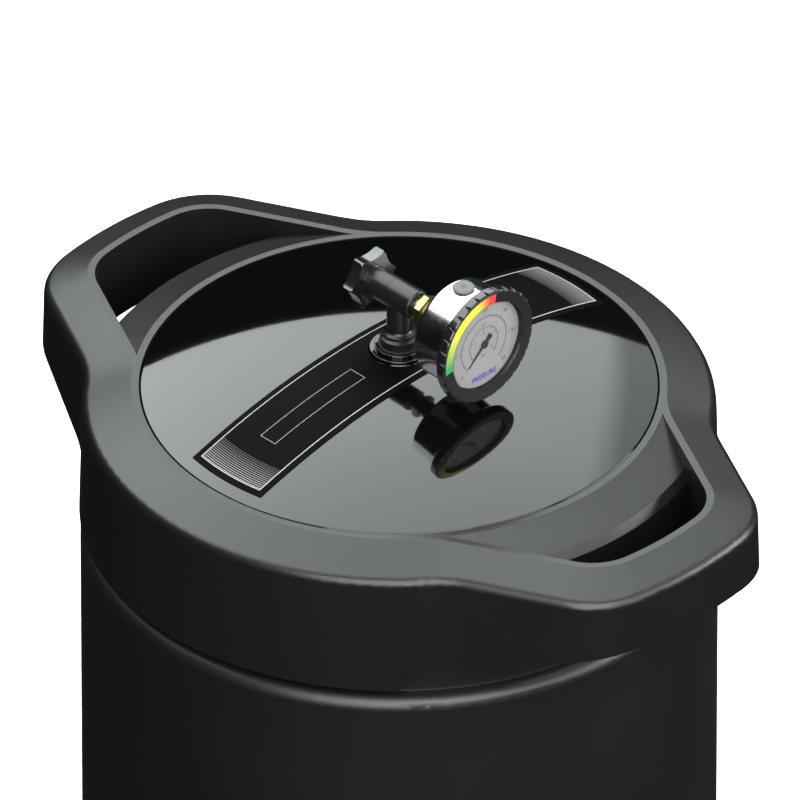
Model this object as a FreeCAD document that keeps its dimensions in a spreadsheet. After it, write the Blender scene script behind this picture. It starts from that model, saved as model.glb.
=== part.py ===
import FreeCAD, Part
import math
import os
import Sketcher

# Cartridge filter for a swimming pool: a moulded tank with a screw-on lock ring, a domed lid that
# carries a pressure gauge and an air bleed, and a pleated cartridge that stands on the outlet pipe.
# The origin is on the floor under the tank's axis. +Z is up, +X runs through the two handles of the
# lock ring and out of the gauge's face, and the pipe ports lie along Y. All sizes are millimetres.

os.makedirs("parts", exist_ok=True)
vector = FreeCAD.Vector
doc = FreeCAD.newDocument("cartridge_filter")
sheet = doc.addObject("Spreadsheet::Sheet", "Sizes")


class Size:
    """A size that knows its number now and the sheet formula that gives it."""

    def __init__(self, number, formula):
        self.number = float(number)
        self.formula = formula

    def __float__(self):
        return self.number

    def joined(self, sign, other, number):
        return Size(number, f"({self.formula} {sign} {sized(other).formula})")

    def __add__(self, other):
        return self.joined("+", other, self.number + float(other))

    def __sub__(self, other):
        return self.joined("-", other, self.number - float(other))

    def __mul__(self, other):
        return self.joined("*", other, self.number * float(other))

    def __truediv__(self, other):
        return self.joined("/", other, self.number / float(other))

    def __radd__(self, other):
        return sized(other) + self

    def __rsub__(self, other):
        return sized(other) - self

    def __rmul__(self, other):
        return sized(other) * self

    def __neg__(self):
        return sized(0) - self

    def root(self):
        return Size(math.sqrt(self.number), f"sqrt({self.formula})")


def sized(value):
    """A bare number as a Size."""
    if isinstance(value, Size):
        return value
    return Size(value, repr(float(value)))


class DrivingSizes:
    """The driving dimensions. Each becomes a row of the sheet, with its name as the alias."""

    # Clearances: between bodies that move apart, of a shaft in its bore, of a skin over a wall,
    # and the smallest that keeps two faces from sharing their place
    gap = 0.3
    running = 0.08
    sleeve_gap = 0.4
    film = 0.05

    # Tank: wall, foot, shoulder, collar and neck
    tank_radius = 160
    tank_wall = 6
    tank_foot = 30
    foot_round = 10
    foot_flat_inset = 42
    bottom_dish = 22
    shoulder_height = 512.3
    shoulder_round = 8
    collar_rise = 28.7
    collar_step = 5
    neck_wall = 5
    neck_rise = 37

    # Stand that the tank's foot drops into
    stand_spread = 12
    stand_wall = 4
    stand_lip = 14
    stand_flange = 6
    stand_ledge = 32

    # Interrupted thread between the neck and the lock ring
    lug_count = 4
    lug_span = 42
    thread_lead = 24
    lug_root = 0.6
    lug_depth = 6.2
    neck_lug_drop = 10
    neck_lug_height = 6
    ring_lug_height = 6.7
    ring_lug_gap = 2.3

    # Lock ring: a flat land round the lid, a sloping band, a flared skirt and two loop handles
    land_rise = 22
    land_width = 3.8
    ring_inset = 1.3
    ring_edge_drop = 9.2
    ring_flare = 1.8
    ring_skirt_depth = 74.2
    ring_bore_gap = 1.8
    ring_mouth_flare = 2
    ring_edge_round = 6
    ring_lip = 12
    ring_lip_edge = 5
    ring_lip_fillet = 4.5
    ring_lip_width = 7
    core_step = 0.2
    crest_reach = 31.8
    crest_side_inset = 37.9
    crest_corner = 32
    crest_blend = 70
    handle_reach = 51.8
    handle_side_inset = 16.5
    handle_corner = 44
    handle_blend = 60
    handle_lean = 26.7
    handle_underside = 37
    underside_slope = 0.27
    underside_reach = 96.3
    handle_wall = 4.5
    handle_rib = 2.5
    handle_rib_pitch = 38

    # Lid: dome, rim, flange and the plug that carries the seal
    lid_inset = 12.2
    lid_rise = 21.5
    lid_wall = 6
    flange_overhang = 2
    flange_depth = 7.4
    plug_depth = 18
    plug_wall = 9.7
    seal_wire = 2.2
    seal_depth = 7.5
    boss_radius = 15
    boss_top = 23.6
    boss_ring = 12.5
    boss_ring_top = 25.5
    boss_root = 4
    lid_ribs = 8
    lid_rib_width = 3
    lid_rib_depth = 10
    lid_rib_start = 32
    stem_hole = 8.1
    glide_width = 9.3
    glide_thickness = 1.7

    # Label strip that follows the dome
    label_width = 48.4
    label_margin = 6.8
    label_thickness = 0.4
    label_hole = 15.6
    label_film = 0.03

    # Air bleed and the tee that carries the gauge
    gauge_axis = 54.5
    stem_radius = 6.4
    stem_collar = 10
    stem_step = 8.5
    stem_neck = 7
    stem_collar_height = 4.3
    stem_step_height = 1.7
    stem_chamfer = 0.8
    tee_radius = 7.8
    tee_reach = 13.5
    seam_reach = 3.4
    nose_radius = 5
    nose_reach = 13.6
    vent_bore = 3.4
    rise_bore = 3
    thread_radius = 7.8
    thread_start = 1
    lock_nut_flats = 24
    lock_nut_height = 8
    seal_thickness = 0.7
    screen_radius = 6.6
    screen_wall = 1.2
    screen_length = 30
    screen_slots = 8
    knob_radius = 15.8
    knob_valley = 12.3
    knob_thickness = 6.5
    knob_back = 24.5
    knob_edge = 0.8
    flute_radius = 18
    knob_lobes = 6
    bleed_pad = 1.8

    # Pressure gauge, measured out from the tank's axis along the gauge's own
    socket_flats = 15
    socket_start = 17.6
    socket_width = 3.8
    socket_shank = 4.9
    socket_neck = 6
    case_back = 36
    case_depth = 25
    case_radius = 26.5
    case_wall = 1.3
    case_round = 3
    plug_hole = 4.2
    plug_head = 5.5
    plug_offset = 9.6
    plug_rise = 1.4
    window_inset = 1.5
    window_thickness = 1.2
    window_proud = 1.8
    dial_inset = 2.2
    dial_setback = 1.6
    dial_thickness = 0.6
    pointer_length = 15
    pointer_tail = 6
    pointer_width = 1.6
    pointer_thickness = 0.4
    pointer_clearance = 0.4
    pointer_rest = 222
    pointer_hub = 2.2
    pointer_tip = 0.2
    shaft_radius = 0.8
    shaft_length = 8
    marker_wall = 4.8
    marker_notch_depth = 1.6
    marker_overlap = 3.5
    marker_proud = 2.5
    marker_lip_inset = 1.9
    marker_notches = 30
    marker_notch_slope = 0.8
    marker_edge = 0.8
    tube_bend = 15
    tube_section = 2.2
    movement_width = 14
    movement_height = 22

    # Ports, union tails and union nuts
    port_height = 100
    port_bore = 22
    port_wall = 4
    port_thread_wall = 12
    port_reach = 30
    port_thread_length = 18
    tail_flange_inset = 1
    tail_flange_depth = 6
    tail_wall = 4.4
    tail_length = 41.7
    pipe_bore = 25.1
    pipe_depth = 31
    nut_wall = 7.7
    nut_lip = 6.5
    nut_lead_in = 2
    nut_ribs = 12
    nut_rib_radius = 3
    tail_seal_bend = 28
    tail_seal_wire = 1.8

    # Pipework inside the tank
    elbow_wall = 5
    elbow_bore = 19
    elbow_bend = 30
    spigot_radius = 21.9
    spigot_reach = 24
    elbow_shoulder_inset = 6
    standpipe_stand = 20.3
    seat_radius = 32
    seat_rise = 31.7
    seat_thickness = 4
    wall_seal_radius = 27
    diffuser_length = 28
    diffuser_wall = 2.2
    diffuser_windows = 4
    diffuser_window_width = 22
    diffuser_window_length = 16

    # Cartridge
    cartridge_gap = 36.5
    cartridge_drop = 26
    cap_thickness = 14
    cap_bore = 27.5
    cap_rim = 3
    cap_round = 2
    pleat_inset = 3.5
    pleat_depth = 60
    pleat_count = 72
    pleat_fold = 11
    core_clearance = 2
    core_wall = 3.5
    core_rows = 5
    core_columns = 8
    core_slot_height = 46
    core_slot_width = 16
    band_thickness = 1.5
    band_width = 12
    grip_pocket = 36
    grip_bar = 12
    seal_band = 6

    # Drain
    drain_height = 66
    drain_boss = 20
    drain_reach = 12
    drain_bore = 15
    drain_flange = 19
    drain_flange_depth = 3
    drain_hex = 27
    drain_hex_height = 10
    drain_seal_depth = 1.8


class Dimensions:
    """Hands out each driving dimension as a Size, after writing it to the sheet."""

    def __init__(self, driving):
        names = [name for name in vars(driving) if not name.startswith("_")]
        for row, name in enumerate(names, 1):
            value = float(getattr(driving, name))
            sheet.set(f"A{row}", name)
            sheet.set(f"B{row}", repr(value))
            sheet.setAlias(f"B{row}", name)
            setattr(self, name, Size(value, f"Sizes.{name}"))


d = Dimensions(DrivingSizes)

# Heights above the floor
d.neck_base = d.shoulder_height + d.shoulder_round
d.collar_top = d.shoulder_height + d.collar_rise
d.neck_top = d.collar_top + d.neck_rise
d.land_height = d.neck_top + d.land_rise
d.ring_skirt_bottom = d.land_height - d.ring_skirt_depth
d.ring_lip_underside = d.land_height - d.ring_lip
d.neck_lug_bottom = d.neck_top - d.neck_lug_drop
d.plug_bottom = d.neck_top - d.plug_depth
d.seal_height = d.neck_top - d.seal_depth
d.thread_bottom = d.land_height + d.thread_start
d.seat_height = d.port_height + d.seat_rise
d.standpipe_top = d.seat_height + d.standpipe_stand
d.cartridge_top = d.neck_top - d.cartridge_drop

# Radii about the tank's axis
d.tank_bore = d.tank_radius - d.tank_wall
d.collar_radius = d.tank_radius - d.shoulder_round
d.neck_radius = d.collar_radius - d.collar_step
d.neck_bore = d.neck_radius - d.neck_wall
d.neck_lug_radius = d.neck_radius + d.lug_depth
d.ring_lug_bore = d.neck_radius + d.ring_lug_gap
d.ring_bore = d.neck_lug_radius + d.ring_bore_gap
d.ring_mouth = d.ring_bore + d.ring_mouth_flare
d.ring_radius = d.tank_radius - d.ring_inset
d.crest_tip = d.ring_radius + d.crest_reach
d.crest_side = d.ring_radius - d.crest_side_inset
d.handle_tip = d.ring_radius + d.handle_reach
d.handle_side = d.ring_radius - d.handle_side_inset
d.underside_start = d.handle_tip - d.underside_reach
d.lid_radius = d.neck_bore - d.lid_inset
d.land_bore = d.lid_radius + d.sleeve_gap
d.land_outer = d.land_bore + d.land_width
d.flange_radius = d.neck_radius + d.flange_overhang
d.plug_radius = d.neck_bore - d.gap
d.label_reach = d.lid_radius - d.label_margin
d.stand_radius = d.tank_radius + d.stand_spread
d.cap_radius = d.tank_bore - d.cartridge_gap
d.pleat_outer = d.cap_radius - d.pleat_inset
d.pleat_inner = d.pleat_outer - d.pleat_depth
d.core_radius = d.pleat_inner - d.core_clearance

# Places along the gauge's axis
d.socket_end = d.socket_start + d.socket_width
d.case_front = d.case_back + d.case_depth
d.case_bore = d.case_radius - d.case_wall
d.plug_place = d.case_back + d.plug_offset
d.window_face = d.case_front + d.window_proud
d.window_radius = d.case_radius - d.window_inset
d.dial_radius = d.case_radius - d.dial_inset
d.dial_place = d.case_front - d.dial_setback
d.marker_radius = d.case_radius + d.marker_wall
d.marker_start = d.case_front - d.marker_overlap
d.marker_front = d.case_front + d.marker_proud
d.marker_lip = d.case_radius - d.marker_lip_inset

# Places along the ports and the drain, measured out from the tank's axis
d.port_neck = d.port_bore + d.port_wall
d.port_thread = d.port_bore + d.port_thread_wall
d.port_end = d.tank_radius + d.port_reach
d.port_thread_start = d.port_end - d.port_thread_length
d.nut_start = d.port_thread_start - d.nut_lead_in
d.nut_radius = d.port_thread + d.gap + d.nut_wall
d.tail_flange = d.port_thread - d.tail_flange_inset
d.tail_radius = d.pipe_bore + d.tail_wall
d.tail_face = d.port_end + d.gap
d.tail_end = d.tail_face + d.tail_length
d.elbow_radius = d.elbow_bore + d.elbow_wall
d.elbow_shoulder = d.tank_bore - d.elbow_shoulder_inset
d.spigot_end = d.tank_bore + d.spigot_reach
d.diffuser_reach = d.tank_bore - d.diffuser_length
d.drain_face = d.tank_radius + d.drain_reach
d.drain_shank = d.drain_bore - d.gap

doc.recompute()

nodes = []

# How far a cutting shape runs past the face that it leaves
OVERRUN = 2


def bind(thing, place, value):
    """Ties one property to the sheet, with its number set first."""
    value = sized(value)
    thing.setExpression(place, value.formula)


def origin_feature(body, role):
    """The body's own plane or axis with this role."""
    for feature in body.Origin.OriginFeatures:
        if feature.Role == role:
            return feature
    raise RuntimeError(role)


def new_body(name):
    body = doc.addObject("PartDesign::Body", name)
    body.Label = name
    return body


def new_sketch(body, name, role, lift=None):
    """An empty sketch on one of the body's origin planes, lifted off it by an offset."""
    sketch = body.newObject("Sketcher::SketchObject", name)
    sketch.AttachmentSupport = [(origin_feature(body, role), "")]
    sketch.MapMode = "FlatFace"
    if lift is not None:
        sketch.AttachmentOffset = FreeCAD.Placement(vector(0, 0, float(lift)), FreeCAD.Rotation())
        bind(sketch, "AttachmentOffset.Base.z", lift)
    return sketch


def pin_point(sketch, geometry, end, x, y):
    """Holds one point of a sketch at two sheet-driven coordinates."""
    for kind, axis, value in (("DistanceX", -2, sized(x)), ("DistanceY", -1, sized(y))):
        if value.formula == "0.0":
            sketch.addConstraint(Sketcher.Constraint("PointOnObject", geometry, end, axis))
            continue
        index = sketch.addConstraint(Sketcher.Constraint(kind, -1, 1, geometry, end, float(value)))
        bind(sketch, f"Constraints[{index}]", value)


def arc_centre(start, end, centre_x):
    """Centre of the arc through two points whose centre lies at a given x."""
    left = (start.x - centre_x) ** 2 + start.y ** 2
    right = (end.x - centre_x) ** 2 + end.y ** 2
    return vector(centre_x, (left - right) / (2 * (start.y - end.y)), 0)


def draw(sketch, corners):
    """A closed outline. A corner is (x, y), or (x, y, centre_x, side) where an arc leads to it."""
    count = len(corners)
    ends = []
    for index in range(count):
        here = corners[index]
        there = corners[(index + 1) % count]
        start = vector(float(here[0]), float(here[1]), 0)
        end = vector(float(there[0]), float(there[1]), 0)
        if len(there) == 2:
            geometry = sketch.addGeometry(Part.LineSegment(start, end), False)
            ends.append((geometry, 1, 2))
            continue
        centre = arc_centre(start, end, float(there[2]))
        circle = Part.Circle(centre, vector(0, 0, 1), start.distanceToPoint(centre))
        first, last = (start, end) if there[3] > 0 else (end, start)
        arc = Part.ArcOfCircle(circle, circle.parameter(first), circle.parameter(last))
        geometry = sketch.addGeometry(arc, False)
        ends.append((geometry, 1, 2) if there[3] > 0 else (geometry, 2, 1))
        centre_x = sized(there[2])
        if centre_x.formula == "0.0":
            sketch.addConstraint(Sketcher.Constraint("PointOnObject", geometry, 3, -2))
        else:
            index_x = sketch.addConstraint(
                Sketcher.Constraint("DistanceX", -1, 1, geometry, 3, float(centre_x)))
            bind(sketch, f"Constraints[{index_x}]", centre_x)
    for index in range(count):
        geometry, _, end = ends[index]
        following, start, _ = ends[(index + 1) % count]
        sketch.addConstraint(Sketcher.Constraint("Coincident", geometry, end, following, start))
        pin_point(sketch, ends[index][0], ends[index][1], corners[index][0], corners[index][1])


def draw_circle(sketch, radius, x=0, y=0):
    """A circle whose radius and centre come from the sheet."""
    radius = sized(radius)
    circle = Part.Circle(vector(float(x), float(y), 0), vector(0, 0, 1), float(radius))
    geometry = sketch.addGeometry(circle, False)
    index = sketch.addConstraint(Sketcher.Constraint("Radius", geometry, float(radius)))
    bind(sketch, f"Constraints[{index}]", radius)
    pin_point(sketch, geometry, 3, x, y)


def draw_box(sketch, low_x, low_y, high_x, high_y):
    draw(sketch, [(low_x, low_y), (high_x, low_y), (high_x, high_y), (low_x, high_y)])


def draw_polygon(sketch, flats, sides, turn=0.0):
    """A regular polygon, given by the width across its flats."""
    reach = flats / (2 * math.cos(math.pi / sides))
    corners = []
    for index in range(sides):
        angle = math.radians(turn) + 2 * math.pi * index / sides
        corners.append((reach * math.cos(angle), reach * math.sin(angle)))
    draw(sketch, corners)


def finish(body, feature):
    """Makes the feature the body's tip and works out its shape."""
    body.Tip = feature
    doc.recompute()
    return feature


def spin_sketch(body, name, corners, kind="PartDesign::Revolution"):
    """Turns an outline in the body's XZ plane about its Z axis."""
    sketch = new_sketch(body, name + "_outline", "XZ_Plane")
    draw(sketch, corners)
    solid = body.newObject(kind, name)
    solid.Profile = sketch
    solid.ReferenceAxis = (sketch, ["V_Axis"])
    solid.Angle = 360
    return finish(body, solid)


def turned(name, corners):
    """A body that is one turned outline."""
    body = new_body(name)
    spin_sketch(body, name + "_turned", corners)
    return body


def rod(name, radius, low, high):
    """A plain turned rod between two heights."""
    return turned(name, [(0, low), (radius, low), (radius, high), (0, high)])


def pad(body, name, sketch, length, backwards=False, both_ways=False):
    solid = body.newObject("PartDesign::Pad", name)
    solid.Profile = sketch
    solid.Length = float(length)
    bind(solid, "Length", length)
    solid.Reversed = backwards
    solid.Midplane = both_ways
    return finish(body, solid)


def pocket(body, name, sketch, length, backwards=False, both_ways=False):
    """Cuts a sketch out of the body. The body must get smaller."""
    before = body.Shape.Volume
    cut = body.newObject("PartDesign::Pocket", name)
    cut.Profile = sketch
    cut.Length = float(length)
    bind(cut, "Length", length)
    cut.Reversed = backwards
    cut.Midplane = both_ways
    finish(body, cut)
    if body.Shape.Volume >= before - 0.001:
        raise RuntimeError(name + " cuts nothing")
    return cut


def repeat_round(body, name, feature, count):
    """Repeats a feature round the body's Z axis."""
    pattern = body.newObject("PartDesign::PolarPattern", name)
    pattern.Originals = [feature]
    pattern.Axis = (origin_feature(body, "Z_Axis"), [""])
    pattern.Angle = 360
    pattern.Occurrences = int(float(count))
    bind(pattern, "Occurrences", count)
    return finish(body, pattern)


TURNS = {
    "+Z": FreeCAD.Rotation(),
    "+X": FreeCAD.Rotation(vector(0, 1, 0), 90),
    "-X": FreeCAD.Rotation(vector(0, 1, 0), -90),
    "+Y": FreeCAD.Rotation(vector(1, 0, 0), -90),
    "-Y": FreeCAD.Rotation(vector(1, 0, 0), 90),
}


def place(thing, facing, x=0, y=0, z=0):
    """Puts a piece in the filter's frame, with its own Z axis along the given direction."""
    thing.Placement = FreeCAD.Placement(vector(float(x), float(y), float(z)), TURNS[facing])
    for axis, value in (("x", x), ("y", y), ("z", z)):
        if isinstance(value, Size):
            bind(thing, f"Placement.Base.{axis}", value)
    return thing


def joined(name, pieces):
    whole = doc.addObject("Part::MultiFuse", name)
    whole.Label = name
    whole.Shapes = pieces
    doc.recompute()
    return whole


def cut_from(name, base, tool):
    rest = doc.addObject("Part::Cut", name)
    rest.Label = name
    rest.Base = base
    rest.Tool = tool
    doc.recompute()
    return rest


def shared(name, base, tool):
    part = doc.addObject("Part::Common", name)
    part.Label = name
    part.Base = base
    part.Tool = tool
    doc.recompute()
    return part


def rounded(name, base, radius, chosen):
    """Rounds the edges of a piece that the test picks."""
    picked = []
    for index, edge in enumerate(base.Shape.Edges, 1):
        if chosen(edge):
            picked.append((index, float(radius), float(radius)))
    if not picked:
        raise RuntimeError(name + " finds no edge")
    part = doc.addObject("Part::Fillet", name)
    part.Label = name
    part.Base = base
    part.Edges = picked
    doc.recompute()
    return part


def keep(name, thing):
    """Marks a finished piece as a node of the filter."""
    thing.Label = name
    nodes.append((name, thing))


def helix_lugs(name, inner, outer, bottom, height):
    """The lugs of the interrupted thread, each a short stretch of the same helix."""
    body = new_body(name)
    sketch = new_sketch(body, name + "_section", "XZ_Plane")
    draw_box(sketch, inner, bottom, outer, bottom + height)
    lug = body.newObject("PartDesign::AdditiveHelix", name + "_lug")
    lug.Profile = sketch
    lug.ReferenceAxis = (sketch, ["V_Axis"])
    lug.Mode = 0
    lug.Pitch = float(d.thread_lead)
    bind(lug, "Pitch", d.thread_lead)
    rise = d.thread_lead * d.lug_span / 360
    lug.Height = float(rise)
    bind(lug, "Height", rise)
    finish(body, lug)
    repeat_round(body, name + "_round", lug, d.lug_count)
    return body


# Tank: a turned shell with a dished bottom, a rounded shoulder and a stepped neck
def make_tank():
    outer = d.tank_radius
    inner = d.tank_bore
    foot = d.tank_foot
    foot_flat = outer - d.foot_flat_inset
    corner = outer - d.foot_round
    inner_corner = corner - d.foot_round
    inner_shoulder = d.shoulder_height - d.foot_round
    core = turned("tank_core", [
        (0, foot + d.bottom_dish),
        (foot_flat, foot, 0, -1),
        (corner, foot),
        (outer, foot + d.foot_round, corner, 1),
        (outer, d.shoulder_height),
        (d.collar_radius, d.neck_base, d.collar_radius, 1),
        (d.collar_radius, d.collar_top),
        (d.neck_radius, d.collar_top),
        (d.neck_radius, d.neck_top),
        (d.neck_bore, d.neck_top),
        (d.neck_bore, d.neck_base - d.tank_wall),
        (inner, inner_shoulder),
        (inner, foot + d.foot_round * 2),
        (inner_corner, foot + d.tank_wall),
        (foot_flat, foot + d.tank_wall),
        (0, foot + d.bottom_dish + d.tank_wall, 0, 1),
    ])
    lugs = helix_lugs("neck_lugs", d.neck_radius - d.lug_root, d.neck_lug_radius,
                      d.neck_lug_bottom, d.neck_lug_height)
    pieces = [core, lugs]
    bores = []
    start = d.tank_radius - d.tank_wall / 2
    inside = d.tank_bore - d.tank_wall * 2
    for side, word in (("+Y", "inlet"), ("-Y", "outlet")):
        stub = turned(word + "_stub", [
            (0, start), (d.port_neck, start), (d.port_neck, d.port_thread_start - d.port_wall),
            (d.port_thread, d.port_thread_start), (d.port_thread, d.port_end), (0, d.port_end)])
        pieces.append(place(stub, side, z=d.port_height))
        bores.append(place(rod(word + "_bore", d.port_bore, inside, d.port_end + OVERRUN),
                           side, z=d.port_height))
    boss = rod("drain_boss", d.drain_boss, start, d.drain_face)
    pieces.append(place(boss, "+X", z=d.drain_height))
    bores.append(place(rod("drain_hole", d.drain_bore, inside, d.drain_face + OVERRUN),
                       "+X", z=d.drain_height))
    solid = joined("tank_solid", pieces)
    keep("tank_shell", cut_from("tank_shell", solid, joined("tank_bores", bores)))


# Stand: a foot ring with a ledge under the tank and a lip round its lower wall
def make_stand():
    inner = d.tank_radius + d.sleeve_gap
    outer = inner + d.stand_wall
    ledge = d.tank_foot - d.stand_wall
    keep("base_stand", turned("base_stand", [
        (outer - d.stand_wall * 4, 0), (d.stand_radius, 0), (d.stand_radius, d.stand_flange),
        (outer + d.stand_wall / 4, d.stand_flange * 2), (outer, d.tank_foot + d.stand_lip),
        (inner, d.tank_foot + d.stand_lip), (inner, d.tank_foot),
        (inner - d.stand_ledge, d.tank_foot), (inner - d.stand_ledge, ledge),
        (outer - d.stand_wall * 2, ledge), (outer - d.stand_wall * 2, d.stand_wall),
        (outer - d.stand_wall * 4, d.stand_wall)]))


# Lid: the dome's sphere is set by the rim's radius and the dome's rise
def dome_radius():
    return (d.lid_radius * d.lid_radius + d.lid_rise * d.lid_rise) / (d.lid_rise * 2)


def dome_height(radius, inset=0):
    """Height above the floor of the dome's sphere, moved in by an inset, at a radius."""
    ball = dome_radius() - inset
    centre = d.land_height + d.lid_rise - dome_radius()
    return centre + (ball * ball - radius * radius).root()


def make_lid():
    land = d.land_height
    flange_bottom = d.neck_top + d.gap
    flange_top = flange_bottom + d.flange_depth
    plug_inner = d.plug_radius - d.plug_wall
    groove_low = d.seal_height - d.seal_wire - d.gap
    groove_high = d.seal_height + d.seal_wire + d.gap
    groove_floor = d.plug_radius - d.seal_wire * 2
    under_edge = d.lid_radius - d.lid_wall
    root = d.boss_radius + d.boss_root
    pocket_floor = dome_height(root, d.lid_wall)
    body = new_body("lid_shell")
    spin_sketch(body, "lid_dome", [
        (d.stem_hole, land + d.boss_ring_top), (d.boss_ring, land + d.boss_ring_top),
        (d.boss_ring, land + d.boss_top), (d.boss_radius, land + d.boss_top),
        (d.boss_radius, dome_height(d.boss_radius)),
        (d.lid_radius, land, 0, -1),
        (d.lid_radius, flange_top), (d.flange_radius, flange_top),
        (d.flange_radius, flange_bottom), (d.plug_radius, flange_bottom),
        (d.plug_radius, groove_high), (groove_floor, groove_high),
        (groove_floor, groove_low), (d.plug_radius, groove_low),
        (d.plug_radius, d.plug_bottom), (plug_inner, d.plug_bottom),
        (plug_inner, flange_bottom - d.lid_wall), (under_edge, flange_bottom + d.lid_wall / 3),
        (under_edge, dome_height(under_edge, d.lid_wall)),
        (root, pocket_floor, 0, 1),
        (d.stem_hole, pocket_floor)])
    keep("lid_shell", joined("lid_shell", [body, lid_ribs()]))
    seal = turned_ring("lid_seal", groove_floor + d.seal_wire + d.running, d.seal_wire,
                       d.seal_height)
    keep("lid_seal", seal)
    inner_low = dome_height(d.label_hole) + d.label_film
    outer_low = dome_height(d.label_reach) + d.label_film
    sheet_body = turned("label_sheet", [
        (d.label_hole, inner_low), (d.label_reach, outer_low, 0, -1),
        (d.label_reach, outer_low + d.label_thickness),
        (d.label_hole, inner_low + d.label_thickness, 0, 1)])
    strip = block("label_strip", d.label_width, (d.label_reach + OVERRUN) * 2, d.lid_rise * 2)
    place(strip, "+Z", -d.label_width / 2, -d.label_reach - OVERRUN, d.land_height)
    keep("lid_label", shared("lid_label", sheet_body, strip))


def lid_ribs():
    """Radial ribs under the dome, which follow its inside."""
    start = d.lid_rib_start
    end = d.lid_radius - d.lid_wall / 2
    sunk = d.lid_wall / 2
    disc = turned("lid_rib_disc", [
        (start, dome_height(start, sunk)), (end, dome_height(end, sunk), 0, -1),
        (end, dome_height(end, sunk) - d.lid_rib_depth),
        (start, dome_height(start, sunk) - d.lid_rib_depth, 0, 1)])
    bars = new_body("lid_rib_bars")
    sketch = new_sketch(bars, "lid_rib_outline", "XY_Plane", d.land_height - d.lid_rise)
    draw_box(sketch, 0, d.lid_rib_width / -2, end, d.lid_rib_width / 2)
    bar = pad(bars, "lid_rib_bar", sketch, d.lid_rise * 2)
    repeat_round(bars, "lid_rib_pattern", bar, d.lid_ribs)
    return shared("lid_ribs", disc, bars)


def block(name, length, width, height):
    """A box whose three sides come from the sheet."""
    box = doc.addObject("Part::Box", name)
    for side, value in (("Length", length), ("Width", width), ("Height", height)):
        bind(box, side, value)
    return box


def turned_ring(name, bend, wire, height):
    """A round-section ring about Z at a height."""
    ring = doc.addObject("Part::Torus", name)
    bind(ring, "Radius1", bend)
    bind(ring, "Radius2", wire)
    place(ring, "+Z", 0, 0, height)
    return ring


# Lock ring: outlines in plan, made of arcs and lines that touch without a corner
def loop_outline(ring, side, corner, blend, tip, height):
    """Closed wire round the ring and its two handles at one height."""
    lean = math.radians(float(d.handle_lean))
    normal = vector(math.sin(lean), math.cos(lean), 0)
    along = vector(math.cos(lean), -math.sin(lean), 0)
    reach = math.sqrt((tip - corner) ** 2 - (side - corner) ** 2)
    corner_centre = normal * (side - corner) + along * reach
    offset = math.sqrt((ring + blend) ** 2 - (side + blend) ** 2)
    blend_centre = normal * (side + blend) + along * offset
    tip_end = corner_centre * (tip / (tip - corner))
    line_out = corner_centre + normal * corner
    line_in = blend_centre - normal * blend
    ring_end = blend_centre * (ring / (ring + blend))
    corner_mid = corner_centre + unit(unit(corner_centre) + normal) * corner
    blend_mid = blend_centre - unit(unit(blend_centre) + normal) * blend
    quarter = [(tip_end, corner_mid, line_out), (line_in, blend_mid, ring_end)]
    edges = []
    for turn in (1, -1):
        upper = [[vector(p.x * turn, p.y * turn, height) for p in arc] for arc in quarter]
        lower = [[vector(p.x * -turn, p.y * turn, height) for p in arc] for arc in quarter]
        corner_arc, blend_arc = upper
        edges.append(Part.Arc(*corner_arc).toShape())
        edges.append(Part.LineSegment(corner_arc[2], blend_arc[0]).toShape())
        edges.append(Part.Arc(*blend_arc).toShape())
        corner_back, blend_back = [list(reversed(arc)) for arc in lower]
        top = vector(0, ring * turn, height)
        edges.append(Part.Arc(blend_arc[2], top, blend_back[0]).toShape())
        edges.append(Part.Arc(*blend_back).toShape())
        edges.append(Part.LineSegment(blend_back[2], corner_back[0]).toShape())
        edges.append(Part.Arc(*corner_back).toShape())
        tip_mid = vector(-tip * turn, 0, height)
        following = vector(-quarter[0][0].x * turn, -quarter[0][0].y * turn, height)
        edges.append(Part.Arc(corner_back[2], tip_mid, following).toShape())
    return Part.Wire(edges)


def unit(direction):
    return direction * (1 / direction.Length)


def crest_outline(outset, height):
    """The crest line of the sloping band, moved out by an outset."""
    outset = float(outset)
    return loop_outline(float(d.land_outer) + outset,
                        float(d.crest_side) + outset, float(d.crest_corner) + outset,
                        float(d.crest_blend) - outset, float(d.crest_tip) + outset, float(height))


def skirt_outline(outset, height):
    """The outer edge of the ring and its handles, moved out by an outset."""
    outset = float(outset)
    return loop_outline(float(d.ring_radius) + outset, float(d.handle_side) + outset,
                        float(d.handle_corner) + outset, float(d.handle_blend) - outset,
                        float(d.handle_tip) + outset, float(height))


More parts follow.
